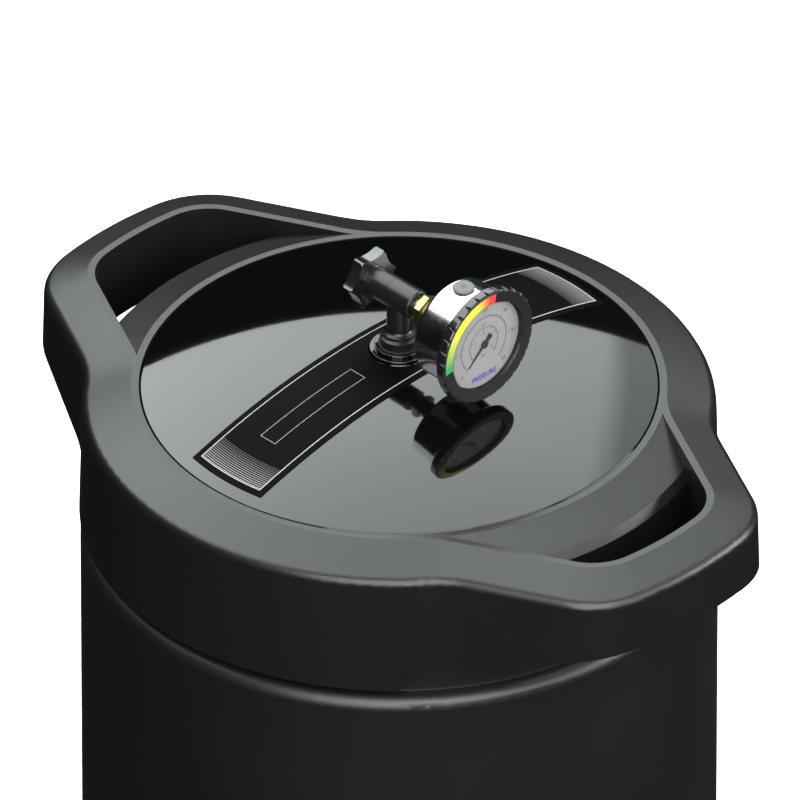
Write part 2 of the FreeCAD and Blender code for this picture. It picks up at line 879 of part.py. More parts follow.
def make_lock_ring():
    land = float(d.land_height)
    drop = float(d.ring_edge_drop)
    bottom = float(d.ring_skirt_bottom)
    land_outer = float(d.land_outer)
    slope = drop / (float(d.ring_radius) - land_outer)
    flare = float(d.ring_flare) / (land - drop - bottom)
    reach = float(d.crest_blend) * 0.6
    roof_low = land - reach * slope
    roof = Part.makeLoft([crest_outline(0, land), crest_outline(reach, roof_low)], True, True)
    footprint = Part.Face(crest_outline(reach, roof_low))
    below = footprint.extrude(vector(0, 0, bottom - OVERRUN - roof_low))
    wall = Part.makeLoft([skirt_outline(-flare * (drop + OVERRUN), land + OVERRUN),
                          skirt_outline(d.ring_flare, bottom)], True, True)
    skin = doc.addObject("Part::Feature", "ring_skin")
    skin.Shape = roof.fuse(below).common(wall).removeSplitter()

    def on_outer_edge(edge):
        box = edge.BoundBox
        middle = edge.valueAt((edge.FirstParameter + edge.LastParameter) / 2)
        far = math.hypot(middle.x, middle.y) > land_outer * 1.04
        return far and box.ZMin > land - drop * 1.1 and box.ZMax < land - drop / 3

    skin_rounded = rounded("ring_skin_rounded", skin, d.ring_edge_round, on_outer_edge)
    loops = doc.addObject("Part::Feature", "loop_hollows")
    through = vector(0, 0, land - bottom + OVERRUN * 2)
    window = Part.Face(crest_outline(-d.land_width, bottom - OVERRUN)).extrude(through)
    middle = Part.makeCylinder(land_outer, through.z, vector(0, 0, bottom - OVERRUN))
    loops.Shape = window.cut(middle)
    frame = cut_from("ring_frame", skin_rounded, joined("ring_openings", [
        loops, handle_hollows(skin.Shape)]))
    step = d.core_step
    edge_round = d.ring_edge_round * 0.6
    edge_height = d.land_height - d.ring_edge_drop
    core = turned("ring_core", [
        (0, d.ring_skirt_bottom), (d.ring_radius + d.ring_flare - step, d.ring_skirt_bottom),
        (d.ring_radius - step, edge_height - edge_round),
        (d.ring_radius - step - edge_round, edge_height + step * 4),
        (d.land_outer, d.land_height - step),
        (0, d.land_height - step)])
    whole = joined("ring_whole", [frame, core])
    low = d.ring_skirt_bottom - OVERRUN
    high = d.land_height + OVERRUN
    cavity = turned("ring_cavity", [
        (0, low), (d.ring_mouth, low),
        (d.ring_mouth, d.ring_skirt_bottom), (d.ring_bore, d.collar_top),
        (d.ring_bore, d.ring_lip_underside - d.ring_lip_fillet),
        (d.ring_bore - d.ring_lip_fillet, d.ring_lip_underside),
        (d.land_bore + d.ring_lip_width, d.ring_lip_underside),
        (d.land_bore, d.land_height - d.ring_lip_edge),
        (d.land_bore, high), (0, high)])
    under = new_body("handle_underside")
    sketch = new_sketch(under, "underside_outline", "XZ_Plane")
    level = d.land_height - d.handle_underside
    far = d.handle_tip + d.handle_corner
    near = level - (d.handle_tip - d.underside_start) * d.underside_slope
    beyond = level + (far - d.handle_tip) * d.underside_slope
    deep = d.ring_skirt_bottom - OVERRUN
    draw(sketch, [(d.underside_start, deep), (far, deep), (far, beyond), (d.underside_start, near)])
    draw(sketch, [(-far, deep), (-d.underside_start, deep), (-d.underside_start, near),
                  (-far, beyond)])
    pad(under, "underside_cut", sketch, d.handle_side * 2, both_ways=True)
    hollowed = cut_from("ring_hollowed", whole, joined("ring_cuts", [cavity, under]))
    lugs = helix_lugs("ring_lugs", d.ring_lug_bore, d.ring_bore + d.lug_root,
                      d.neck_lug_bottom - d.gap - d.ring_lug_height, d.ring_lug_height)
    keep("lock_ring", joined("lock_ring", [hollowed, lugs]))


def handle_hollows(skin):
    """The open space under each handle, inside its roof and walls, with cross ribs left in it."""
    wall = float(d.handle_wall)
    bottom = float(d.ring_skirt_bottom)
    height = float(d.land_height) - bottom + OVERRUN * 2
    low = bottom - OVERRUN
    inner_wall = Part.makeLoft([
        skirt_outline(-wall - float(d.ring_flare), low + height),
        skirt_outline(d.ring_flare - wall, low)], True, True)
    space = skin.translated(vector(0, 0, -wall)).common(inner_wall)
    finger_wall = Part.Face(crest_outline(d.handle_wall - d.land_width, low))
    space = space.cut(finger_wall.extrude(vector(0, 0, height)))
    ring_wall = Part.makeCylinder(float(d.ring_radius + d.ring_flare), height, vector(0, 0, low))
    space = space.cut(ring_wall)
    rib = float(d.handle_rib)
    reach = float(d.handle_tip) + OVERRUN
    for step in (-1, 0, 1):
        corner = vector(-reach, float(d.handle_rib_pitch) * step - rib / 2, low)
        space = space.cut(Part.makeBox(reach * 2, rib, height, corner))
    hollows = doc.addObject("Part::Feature", "handle_hollows")
    hollows.Shape = space
    return hollows


def make_glide_ring():
    inner = d.flange_radius - d.glide_width
    low = d.neck_top + d.gap * 2 + d.flange_depth
    outer = d.flange_radius - d.film * 4
    keep("glide_ring", turned("glide_ring", [
        (inner, low), (outer, low), (outer, low + d.glide_thickness),
        (inner, low + d.glide_thickness)]))


# Air bleed: a tee on a threaded stem, held in the lid by a nut, with a screen below it
def make_bleed():
    land = d.land_height
    axis = land + d.gauge_axis
    seat = land + d.boss_ring_top
    seal_top = seat + d.seal_thickness
    under = dome_height(d.boss_radius + d.boss_root, d.lid_wall)
    collar = d.stem_collar_height
    neck = seal_top + collar + d.stem_chamfer + d.stem_step_height
    stem = turned("tee_stem", [
        (0, d.thread_bottom), (d.thread_radius, d.thread_bottom), (d.thread_radius, seal_top),
        (d.stem_collar, seal_top), (d.stem_collar, seal_top + collar),
        (d.stem_step, seal_top + collar + d.stem_chamfer),
        (d.stem_step, neck), (d.stem_neck, neck + d.stem_chamfer),
        (d.stem_radius, neck + d.stem_chamfer * 2), (d.stem_radius, axis - d.tee_radius - d.gap),
        (0, axis - d.tee_radius - d.gap)])
    stub_low = axis - d.tee_radius - d.stem_chamfer
    stub = rod("tee_stub", d.stem_radius, stub_low, axis)
    side_of_seam = block("tee_stub_side", d.seam_reach + d.stem_radius, d.stem_radius * 2,
                         d.tee_radius + d.stem_chamfer * 2)
    place(side_of_seam, "+Z", -d.seam_reach, -d.stem_radius, stub_low - d.stem_chamfer)
    upper = shared("tee_upper", stub, side_of_seam)
    arm = turned("tee_arm", [
        (0, -d.seam_reach), (d.tee_radius, -d.seam_reach),
        (d.tee_radius, d.tee_reach - d.stem_chamfer), (d.tee_radius - d.stem_chamfer, d.tee_reach),
        (0, d.tee_reach)])
    place(arm, "+X", z=axis)
    nose = turned("tee_nose", [
        (0, 0), (d.nose_radius, 0), (d.nose_radius, d.nose_reach - d.stem_chamfer),
        (d.nose_radius - d.stem_chamfer, d.nose_reach), (0, d.nose_reach)])
    place(nose, "-X", z=axis)
    rise = rod("tee_rise_bore", d.rise_bore, d.thread_bottom - OVERRUN, axis)
    vent = rod("tee_vent_bore", d.vent_bore, -d.vent_bore - OVERRUN, d.nose_reach + OVERRUN)
    place(vent, "-X", z=axis)
    gauge = rod("tee_gauge_bore", d.socket_shank + d.running, d.vent_bore, d.tee_reach + OVERRUN)
    place(gauge, "+X", z=axis)
    tee = cut_from("bleed_tee", joined("tee_solid", [stem, upper, arm, nose]),
                   joined("tee_bores", [rise, vent, gauge]))
    keep("bleed_tee", tee)
    seal_bore = d.thread_radius + d.gap * 2
    seal_edge = d.stem_collar + d.stem_chamfer
    keep("stem_seal", turned("stem_seal", [
        (seal_bore, seat), (seal_edge, seat), (seal_edge, seal_top), (seal_bore, seal_top)]))
    nut = new_body("stem_lock_nut")
    sketch = new_sketch(nut, "lock_nut_outline", "XY_Plane", under - d.lock_nut_height)
    draw_polygon(sketch, d.lock_nut_flats, 6)
    draw_circle(sketch, d.thread_radius + d.running)
    pad(nut, "lock_nut_block", sketch, d.lock_nut_height)
    keep("stem_lock_nut", nut)
    make_screen()
    make_knob(axis)


def make_screen():
    """A slotted tube that keeps grit out of the bleed, pushed on the stem's lower end."""
    top = d.thread_bottom
    low = top - d.screen_length
    wall = d.screen_radius - d.screen_wall
    body = new_body("air_screen")
    spin_sketch(body, "screen_tube", [
        (0, low), (d.screen_radius, low), (d.screen_radius, top), (wall, top),
        (wall, low + d.screen_wall), (0, low + d.screen_wall)])
    sketch = new_sketch(body, "screen_slot", "XY_Plane", low + d.screen_wall * 3)
    draw_box(sketch, 0, -d.screen_wall / 2, d.screen_radius + OVERRUN, d.screen_wall / 2)
    slot = pocket(body, "screen_slot_cut", sketch, d.screen_length * 0.7, backwards=True)
    repeat_round(body, "screen_slots", slot, d.screen_slots)
    keep("air_screen", body)


def make_knob(axis):
    """Star knob whose sleeve screws on the tee's nose and presses a pad on its vent."""
    bore = d.nose_radius + d.gap
    body = new_body("bleed_knob")
    face = d.knob_back - d.knob_thickness
    floor = d.nose_reach + d.bleed_pad + d.gap
    mouth = d.seam_reach + d.gap / 2
    edge = d.knob_edge
    spin_sketch(body, "knob_blank", [
        (0, floor), (bore, floor), (bore, mouth), (d.tee_radius, mouth), (d.tee_radius, face),
        (d.knob_radius - edge, face), (d.knob_radius, face + edge),
        (d.knob_radius, d.knob_back - edge), (d.knob_radius - edge, d.knob_back),
        (0, d.knob_back)])
    sketch = new_sketch(body, "flute", "XY_Plane", face - OVERRUN)
    draw_circle(sketch, d.flute_radius, d.knob_valley + d.flute_radius, 0)
    flute = pocket(body, "flute_cut", sketch, d.knob_thickness + OVERRUN * 2, backwards=True)
    repeat_round(body, "flutes", flute, d.knob_lobes)
    place(body, "-X", z=axis)
    keep("bleed_knob", body)
    pad_low = d.nose_reach + d.gap / 2
    pad_body = rod("bleed_pad", d.nose_radius - d.gap, pad_low, pad_low + d.bleed_pad)
    keep("bleed_pad", place(pad_body, "-X", z=axis))


# Pressure gauge: every piece is turned about the gauge's own axis and then faces +X
def make_gauge():
    axis = d.land_height + d.gauge_axis
    shank_end = d.vent_bore + d.running * 25
    socket = new_body("gauge_socket")
    spin_sketch(socket, "socket_shank", [
        (d.shaft_radius * 2, shank_end), (d.socket_shank, shank_end),
        (d.socket_shank, d.socket_start), (d.socket_neck, d.socket_start),
        (d.socket_neck, d.case_back + d.case_wall),
        (d.shaft_radius * 2, d.case_back + d.case_wall)])
    sketch = new_sketch(socket, "socket_hex", "XY_Plane", d.socket_start)
    draw_polygon(sketch, d.socket_flats, 6)
    draw_circle(sketch, d.socket_shank)
    pad(socket, "socket_hex_block", sketch, d.socket_end - d.socket_start)
    keep("gauge_socket", place(socket, "+X", z=axis))

    wall = d.case_wall
    inner = d.case_bore
    case = new_body("gauge_case")
    spin_sketch(case, "case_cup", [
        (d.socket_neck + d.running, d.case_back), (d.case_radius - d.case_round, d.case_back),
        (d.case_radius, d.case_back + d.case_round, d.case_radius - d.case_round, 1),
        (d.case_radius, d.case_front), (inner, d.case_front), (inner, d.case_back + wall),
        (d.socket_neck + d.running, d.case_back + wall)])
    rim_hole = new_sketch(case, "case_plug_rim", "YZ_Plane", -d.case_radius - OVERRUN)
    draw_circle(rim_hole, d.plug_hole, 0, d.plug_place)
    pocket(case, "case_plug_cut", rim_hole, wall * 2 + OVERRUN, backwards=True)
    keep("gauge_case", place(case, "+X", z=axis))

    plug_shank = d.plug_hole - d.running
    plug_seat = d.case_radius + d.film * 2
    plug_top = d.case_radius + d.plug_rise
    plug_edge = d.plug_rise / 3
    plug = turned("gauge_plug", [
        (0, inner - wall), (plug_shank, inner - wall), (plug_shank, plug_seat),
        (d.plug_head, plug_seat), (d.plug_head, plug_top - plug_edge),
        (d.plug_head - plug_edge, plug_top), (0, plug_top)])
    keep("gauge_plug", place(plug, "+Z", x=d.plug_place, z=axis))

    tube = doc.addObject("Part::Torus", "bourdon_tube")
    bind(tube, "Radius1", d.tube_bend)
    bind(tube, "Radius2", d.tube_section)
    tube.Angle3 = 250
    tube_place = d.case_back + wall + d.tube_section * 2.7
    keep("bourdon_tube", place(tube, "+X", x=tube_place, z=axis))

    movement = new_body("gauge_movement")
    back = d.case_back + wall + d.film * 4
    depth = d.dial_place - back - d.gap * 3
    sketch = new_sketch(movement, "movement_plate", "XY_Plane", back)
    wide = d.movement_width / 2
    tall = d.movement_height / 2
    draw_box(sketch, -wide, -tall, wide, tall)
    pad(movement, "movement_block", sketch, depth)
    hole = new_sketch(movement, "movement_hole", "XY_Plane", d.dial_place)
    draw_circle(hole, d.shaft_radius + d.running)
    pocket(movement, "movement_bore", hole, d.shaft_length + d.gap * 3)
    keep("gauge_movement", place(movement, "+X", z=axis))

    face = new_body("dial")
    spin_sketch(face, "dial_disc", [
        (d.shaft_radius + d.gap, d.dial_place), (d.dial_radius, d.dial_place),
        (d.dial_radius, d.dial_place + d.dial_thickness),
        (d.shaft_radius + d.gap, d.dial_place + d.dial_thickness)])
    keep("dial", place(face, "+X", z=axis))

    window = rod("gauge_window", d.window_radius, d.window_face - d.window_thickness, d.window_face)
    keep("gauge_window", place(window, "+X", z=axis))
    make_pointer(axis)
    make_marker(axis)


def make_pointer(axis):
    """Pointer and its shaft. The blade lies at rest on the dial's zero."""
    body = new_body("gauge_pointer")
    plane = d.dial_place + d.dial_thickness + d.pointer_clearance
    hub_top = plane + d.pointer_thickness * 2
    shaft_end = d.dial_place - d.shaft_length
    spin_sketch(body, "pointer_hub", [
        (0, shaft_end), (d.shaft_radius, shaft_end), (d.shaft_radius, plane),
        (d.pointer_hub, plane), (d.pointer_hub, hub_top), (0, hub_top)])
    sketch = new_sketch(body, "pointer_blade", "XY_Plane", plane)
    draw(sketch, [
        (-d.pointer_length, -d.pointer_tip), (-d.pointer_length, d.pointer_tip),
        (0, d.pointer_width / 2), (d.pointer_tail, d.pointer_width),
        (d.pointer_tail, -d.pointer_width), (0, -d.pointer_width / 2)])
    pad(body, "pointer_blade_pad", sketch, d.pointer_thickness)
    body.Placement = FreeCAD.Placement(
        vector(0, 0, float(axis)),
        FreeCAD.Rotation(vector(1, 0, 0), float(d.pointer_rest) - 90).multiply(TURNS["+X"]))
    bind(body, "Placement.Base.z", axis)
    keep("gauge_pointer", body)


def make_marker(axis):
    """Ring that turns on the case and marks the clean pressure, with V notches for the fingers."""
    bore = d.case_radius + d.running
    edge = d.marker_edge
    lip = d.window_face + d.gap / 2
    blank = turned("marker_blank", [
        (bore, d.marker_start), (d.marker_radius - edge, d.marker_start),
        (d.marker_radius, d.marker_start + edge), (d.marker_radius, d.marker_front - edge),
        (d.marker_radius - edge, d.marker_front), (d.marker_lip, d.marker_front),
        (d.marker_lip, lip), (bore, lip)])

    def notch_section(depth, height):
        """A V that opens outwards, with its tip at a depth below the ring's outside."""
        tip = float(d.marker_radius) - depth
        mouth = float(d.marker_radius) + OVERRUN
        half = (mouth - tip) * float(d.marker_notch_slope)
        corners = [vector(tip, 0, height), vector(mouth, -half, height),
                   vector(mouth, half, height)]
        return Part.makePolygon(corners + corners[:1])

    back = float(d.marker_start + edge * 2)
    front = float(d.marker_front)
    deepening = float(d.marker_notch_depth) / (front - back)
    notch = Part.makeLoft([notch_section(0, back),
                           notch_section(deepening * (front - back + OVERRUN), front + OVERRUN)],
                          True, True)
    count = round(float(d.marker_notches))
    turns = [notch.rotated(vector(0, 0, 0), vector(0, 0, 1), 360 * index / count)
             for index in range(count)]
    notches = doc.addObject("Part::Feature", "marker_notch_cuts")
    notches.Shape = Part.makeCompound(turns)
    notched = cut_from("marker_notched", blank, notches)
    keep("marker_ring", place(notched, "+X", z=axis))


# Ports: a union tail with its seal, and a ribbed nut that draws it to the port
def make_union(word, side):
    flange_face = d.tail_face
    flange_back = flange_face + d.tail_flange_depth
    groove_half = d.tail_seal_wire + d.film * 4
    groove_in = d.tail_seal_bend - groove_half
    groove_out = d.tail_seal_bend + groove_half
    groove_floor = flange_face + d.tail_seal_wire * 2 + d.film * 2
    stop = d.tail_end - d.pipe_depth
    chamfer = d.tail_wall / 3
    tail = turned(word + "_tail", [
        (d.port_bore, flange_face), (groove_in, flange_face), (groove_in, groove_floor),
        (groove_out, groove_floor), (groove_out, flange_face), (d.tail_flange, flange_face),
        (d.tail_flange, flange_back), (d.tail_radius, flange_back),
        (d.tail_radius, d.tail_end - chamfer), (d.tail_radius - chamfer, d.tail_end),
        (d.pipe_bore, d.tail_end), (d.pipe_bore, stop), (d.port_bore, stop)])
    keep(word + "_tail", place(tail, side, z=d.port_height))
    ring = doc.addObject("Part::Torus", word + "_tail_seal")
    bind(ring, "Radius1", d.tail_seal_bend)
    bind(ring, "Radius2", d.tail_seal_wire)
    seal_centre = flange_face + d.tail_seal_wire - d.film
    outward = seal_centre if side == "+Y" else -seal_centre
    keep(word + "_tail_seal", place(ring, side, y=outward, z=d.port_height))
    nut = new_body(word + "_union_nut")
    lip = flange_back + d.gap
    nut_end = lip + d.nut_lip
    bevel = d.nut_lip / 3
    spin_sketch(nut, word + "_nut_blank", [
        (d.port_thread + d.gap, d.nut_start), (d.nut_radius, d.nut_start),
        (d.nut_radius, nut_end - bevel), (d.nut_radius - bevel * 2, nut_end),
        (d.tail_radius + d.gap, nut_end), (d.tail_radius + d.gap, lip),
        (d.port_thread + d.gap, lip)])
    sketch = new_sketch(nut, word + "_nut_rib_outline", "XY_Plane", d.nut_start)
    draw_circle(sketch, d.nut_rib_radius, d.nut_radius - d.nut_rib_radius / 3)
    rib = pad(nut, word + "_nut_rib", sketch, nut_end - bevel - d.nut_start - d.film * 10)
    repeat_round(nut, word + "_nut_ribs", rib, d.nut_ribs)
    keep(word + "_union_nut", place(nut, side, z=d.port_height))


# Pipework: the outlet elbow that the cartridge stands on, and the inlet's slotted diffuser
def make_pipework():
    height = d.port_height
    shoulder = d.elbow_shoulder
    bend = d.elbow_bend

    def run(name, pipe):
        level = place(rod(name + "_level", pipe, bend, shoulder), "-Y", z=height)
        upright = rod(name + "_upright", pipe, height + bend, d.standpipe_top)
        curve = doc.addObject("Part::Torus", name + "_curve")
        bind(curve, "Radius1", bend)
        bind(curve, "Radius2", pipe)
        curve.Angle3 = 90
        turn = FreeCAD.Rotation(vector(0, 0, -1), vector(0, 1, 0), vector(1, 0, 0), "XYZ")
        curve.Placement = FreeCAD.Placement(vector(0, -float(bend), float(height + bend)), turn)
        bind(curve, "Placement.Base.y", -bend)
        bind(curve, "Placement.Base.z", height + bend)
        return [level, upright, curve]

    spigot = rod("elbow_spigot", d.spigot_radius, shoulder - OVERRUN, d.spigot_end)
    place(spigot, "-Y", z=height)
    seat = rod("cartridge_seat", d.seat_radius, d.seat_height - d.seat_thickness, d.seat_height)
    outside = joined("elbow_outside", run("elbow_skin", d.elbow_radius) + [spigot, seat])
    through = rod("elbow_through", d.elbow_bore, shoulder - OVERRUN, d.spigot_end + OVERRUN)
    place(through, "-Y", z=height)
    inside = joined("elbow_inside", run("elbow_hollow", d.elbow_bore) + [through])
    keep("outlet_elbow", cut_from("outlet_elbow", outside, inside))

    flange = d.wall_seal_radius
    wall_meets = (d.tank_bore * d.tank_bore - flange * flange).root()
    seal_end = wall_meets - d.film * 2
    seal_bore = d.spigot_radius + d.gap
    seal = turned("outlet_wall_seal", [
        (seal_bore, shoulder), (flange, shoulder), (flange, seal_end), (seal_bore, seal_end)])
    keep("outlet_wall_seal", place(seal, "-Y", z=height))

    tube = new_body("inlet_diffuser")
    inner = d.spigot_radius - d.diffuser_wall
    spin_sketch(tube, "diffuser_tube", [
        (0, d.diffuser_reach), (d.spigot_radius, d.diffuser_reach),
        (d.spigot_radius, shoulder), (flange, shoulder),
        (flange, seal_end), (d.spigot_radius, seal_end),
        (d.spigot_radius, d.spigot_end), (inner, d.spigot_end),
        (inner, d.diffuser_reach + d.diffuser_wall), (0, d.diffuser_reach + d.diffuser_wall)])
    sketch = new_sketch(tube, "diffuser_window", "XY_Plane", d.diffuser_reach + d.diffuser_wall)
    half = d.diffuser_window_width / 2
    draw_box(sketch, 0, -half, d.spigot_radius + OVERRUN, half)
    window = pocket(tube, "diffuser_window_cut", sketch, d.diffuser_window_length, backwards=True)
    repeat_round(tube, "diffuser_windows_cut", window, d.diffuser_windows)
    keep("inlet_diffuser", place(tube, "+Y", z=height))


# Cartridge: a pleated sheet between two end caps, round a slotted core
def make_cartridge():
    low = d.seat_height + d.gap
    bottom_in = low + d.cap_thickness
    top = d.cartridge_top
    top_in = top - d.cap_thickness
    hub = d.core_radius - d.core_wall - d.running
    hub_bore = hub - d.cap_rim
    hub_depth = d.cap_rim * 3
    edge = d.cap_radius - d.cap_round
    keep("bottom_end_cap", turned("bottom_end_cap", [
        (d.cap_bore, low), (edge, low), (d.cap_radius, low + d.cap_round),
        (d.cap_radius, bottom_in + d.cap_rim), (edge, bottom_in + d.cap_rim),
        (edge, bottom_in), (hub, bottom_in), (hub, bottom_in + hub_depth),
        (hub_bore, bottom_in + hub_depth), (hub_bore, bottom_in), (d.cap_bore, bottom_in)]))
    cap = new_body("top_end_cap")
    spin_sketch(cap, "top_cap_disc", [
        (0, top_in), (hub_bore, top_in), (hub_bore, top_in - hub_depth),
        (hub, top_in - hub_depth), (hub, top_in), (edge, top_in),
        (edge, top_in - d.cap_rim), (d.cap_radius, top_in - d.cap_rim),
        (d.cap_radius, top - d.cap_round), (edge, top), (0, top)])
    sketch = new_sketch(cap, "grip_pockets", "XY_Plane", top)
    half = d.grip_bar / 2
    span = (d.grip_pocket * d.grip_pocket - half * half).root()
    for side in (1, -1):
        corners = [(-span, half * side), (span, half * side), (0, d.grip_pocket * side)]
        draw(sketch, corners)
    pocket(cap, "grip_pocket_cut", sketch, d.cap_thickness - d.cap_rim)
    keep("top_end_cap", cap)

    media = doc.addObject("Part::Feature", "pleat_media")
    count = int(float(d.pleat_count))
    fold = float(d.pleat_fold)
    wires = []
    for crest, valley in ((float(d.pleat_outer), float(d.pleat_inner) + fold),
                          (float(d.pleat_outer) - fold, float(d.pleat_inner))):
        points = []
        for index in range(2 * count):
            radius = valley if index % 2 else crest
            angle = math.pi * index / count
            points.append(vector(radius * math.cos(angle), radius * math.sin(angle),
                                 float(bottom_in)))
        wires.append(Part.makePolygon(points + [points[0]]))
    band = Part.Face(wires[0]).cut(Part.Face(wires[1]))
    media.Shape = band.extrude(vector(0, 0, float(top_in - bottom_in)))
    keep("pleat_media", media)

    core = new_body("cartridge_core")
    spin_sketch(core, "core_tube", [
        (d.core_radius - d.core_wall, bottom_in), (d.core_radius, bottom_in),
        (d.core_radius, top_in), (d.core_radius - d.core_wall, top_in)])
    sketch = new_sketch(core, "core_slot", "XZ_Plane")
    pitch = (top_in - bottom_in) / d.core_rows
    for row in range(int(float(d.core_rows))):
        middle = bottom_in + pitch * (row + 0.5)
        draw_box(sketch, d.core_slot_width / -2, middle - d.core_slot_height / 2,
                 d.core_slot_width / 2, middle + d.core_slot_height / 2)
    slot = pocket(core, "core_slot_cut", sketch, d.core_radius + OVERRUN)
    repeat_round(core, "core_slots", slot, d.core_columns)
    keep("cartridge_core", core)

    bands = []
    band_bore = d.pleat_outer + d.film * 4
    band_outer = band_bore + d.band_thickness
    for index, share in enumerate((1 / 3, 2 / 3), 1):
        middle = bottom_in + (top_in - bottom_in) * share
        below = middle - d.band_width / 2
        above = middle + d.band_width / 2
        bands.append(turned(f"band_{index}", [
            (band_bore, below), (band_outer, below), (band_outer, above), (band_bore, above)]))
    keep("pleat_bands", joined("pleat_bands", bands))
    seal_low = low + d.cap_rim
    seal_high = seal_low + d.seal_band
    seal_outer = d.cap_bore - d.film * 2
    keep("cartridge_seal", turned("cartridge_seal", [
        (d.elbow_radius + d.gap, seal_low), (seal_outer, seal_low),
        (seal_outer, seal_high), (d.elbow_radius + d.gap, seal_high)]))


def make_drain():
    face = d.drain_face + d.gap / 2
    flange = face + d.drain_seal_depth + d.gap / 2
    plug = new_body("drain_plug")
    tip = d.drain_flange_depth / 3
    spin_sketch(plug, "plug_turned", [
        (0, d.tank_radius), (d.drain_shank - tip, d.tank_radius), (d.drain_shank, d.tank_radius + tip),
        (d.drain_shank, flange), (d.drain_flange, flange),
        (d.drain_flange, flange + d.drain_flange_depth), (0, flange + d.drain_flange_depth)])
    sketch = new_sketch(plug, "plug_hex", "XY_Plane", flange + d.drain_flange_depth)
    draw_polygon(sketch, d.drain_hex, 6)
    pad(plug, "plug_hex_block", sketch, d.drain_hex_height)
    keep("drain_plug", place(plug, "+X", z=d.drain_height))
    seal_bore = d.drain_shank + d.film * 4
    seal_edge = d.drain_flange - d.gap
    seal = turned("drain_seal", [
        (seal_bore, face), (seal_edge, face),
        (seal_edge, face + d.drain_seal_depth), (seal_bore, face + d.drain_seal_depth)])
    keep("drain_seal", place(seal, "+X", z=d.drain_height))


make_tank()
make_stand()
make_lid()
make_lock_ring()
make_glide_ring()
make_bleed()
make_gauge()
make_union("inlet", "+Y")
make_union("outlet", "-Y")
make_pipework()
make_cartridge()
make_drain()
doc.recompute()

for thing in doc.Objects:
    if "Invalid" in thing.State or "Error" in thing.State:
        raise RuntimeError(f"{thing.Label} failed: {thing.State}")
for name, thing in nodes:
    shape = thing.Shape
    if shape.isNull() or not shape.isValid():
        raise RuntimeError(name + " has no valid shape")
    print(f"{name:20s} solids {len(shape.Solids)} volume {shape.Volume:12.1f}")
for name, thing in nodes:
    thing.Shape.exportStep(f"parts/{name}.step")
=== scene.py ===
import math

import bpy
from bpy.props import FloatProperty, FloatVectorProperty, IntProperty, PointerProperty
from mathutils import Matrix, Vector


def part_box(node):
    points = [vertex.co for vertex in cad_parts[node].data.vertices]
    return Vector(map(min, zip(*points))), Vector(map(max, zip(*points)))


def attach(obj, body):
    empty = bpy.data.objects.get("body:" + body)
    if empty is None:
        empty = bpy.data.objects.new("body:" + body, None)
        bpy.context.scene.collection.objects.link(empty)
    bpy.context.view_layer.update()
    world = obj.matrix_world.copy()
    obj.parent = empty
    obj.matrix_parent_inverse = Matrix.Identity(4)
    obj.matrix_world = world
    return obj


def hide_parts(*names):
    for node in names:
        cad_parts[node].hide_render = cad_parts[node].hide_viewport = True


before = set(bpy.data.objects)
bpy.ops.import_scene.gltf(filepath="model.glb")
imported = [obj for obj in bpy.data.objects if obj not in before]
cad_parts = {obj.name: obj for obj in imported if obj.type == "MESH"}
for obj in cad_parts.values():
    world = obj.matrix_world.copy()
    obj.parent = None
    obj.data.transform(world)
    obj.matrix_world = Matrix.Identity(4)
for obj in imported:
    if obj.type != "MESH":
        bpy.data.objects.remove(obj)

bl_info = {
    "name": "Cartridge filter",
    "version": (1, 0, 0),
    "blender": (4, 5, 0),
    "location": "3D View > Sidebar > Cartridge filter",
    "description": "Models and finishes the pieces of a cartridge filter round its CAD frame",
    "category": "Object",
}

MM = 0.001
FINISH = "_finish"
AXIS_Z = Vector((0, 0, 1))
AXIS_X = Vector((1, 0, 0))
BLACK = (0.0, 0.0, 0.0)

# Heights and places read from the frame, in metres
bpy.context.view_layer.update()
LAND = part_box("lock_ring")[1].z
GAUGE_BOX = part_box("gauge_case")
GAUGE_AXIS = (GAUGE_BOX[0].z + GAUGE_BOX[1].z) / 2
GAUGE_CENTRE = Vector((0, 0, GAUGE_AXIS))


class FilterStudio(bpy.types.PropertyGroup):
    """The camera, the floor and the lights."""

    azimuth: FloatProperty(
        name="Camera azimuth", description="Turn of the camera about the filter, from its front",
        default=math.radians(45.5), subtype="ANGLE")
    elevation: FloatProperty(
        name="Camera elevation", description="Height of the camera above level",
        default=math.radians(35.0), subtype="ANGLE")
    view_width: FloatProperty(
        name="View width", description="Width of the picture at the filter's axis",
        default=0.4, unit="LENGTH")
    target_height: FloatProperty(
        name="Target height", description="Height of the point that the camera looks at",
        default=LAND - 0.0096, unit="LENGTH")
    lens: FloatProperty(
        name="Lens", description="Focal length in millimetres, for a near-parallel view",
        default=1500.0)
    floor_colour: FloatVectorProperty(
        name="Floor colour", description="Colour of the floor", default=(0.82, 0.82, 0.82),
        subtype="COLOR", size=3, min=0.0, max=1.0)
    box_radiance: FloatProperty(
        name="Softbox brightness", description="Brightness of the overhead softbox",
        default=5.7)
    box_tint: FloatVectorProperty(
        name="Softbox tint", description="Colour of the softbox's light", default=(0.94, 1.0, 1.02),
        subtype="COLOR", size=3, min=0.0, max=2.0)
    front_radiance: FloatProperty(
        name="Front box brightness", description="Brightness of the softbox behind the camera",
        default=9.0)
    side_radiance: FloatProperty(
        name="Side box brightness", description="Brightness of the softbox at the right",
        default=14.0)
    corner_radiance: FloatProperty(
        name="Corner box brightness", description="Brightness of the softbox right of the camera",
        default=5.0)
    world_level: FloatProperty(
        name="Room level", description="Brightness of the dark room round the softboxes",
        default=0.005)


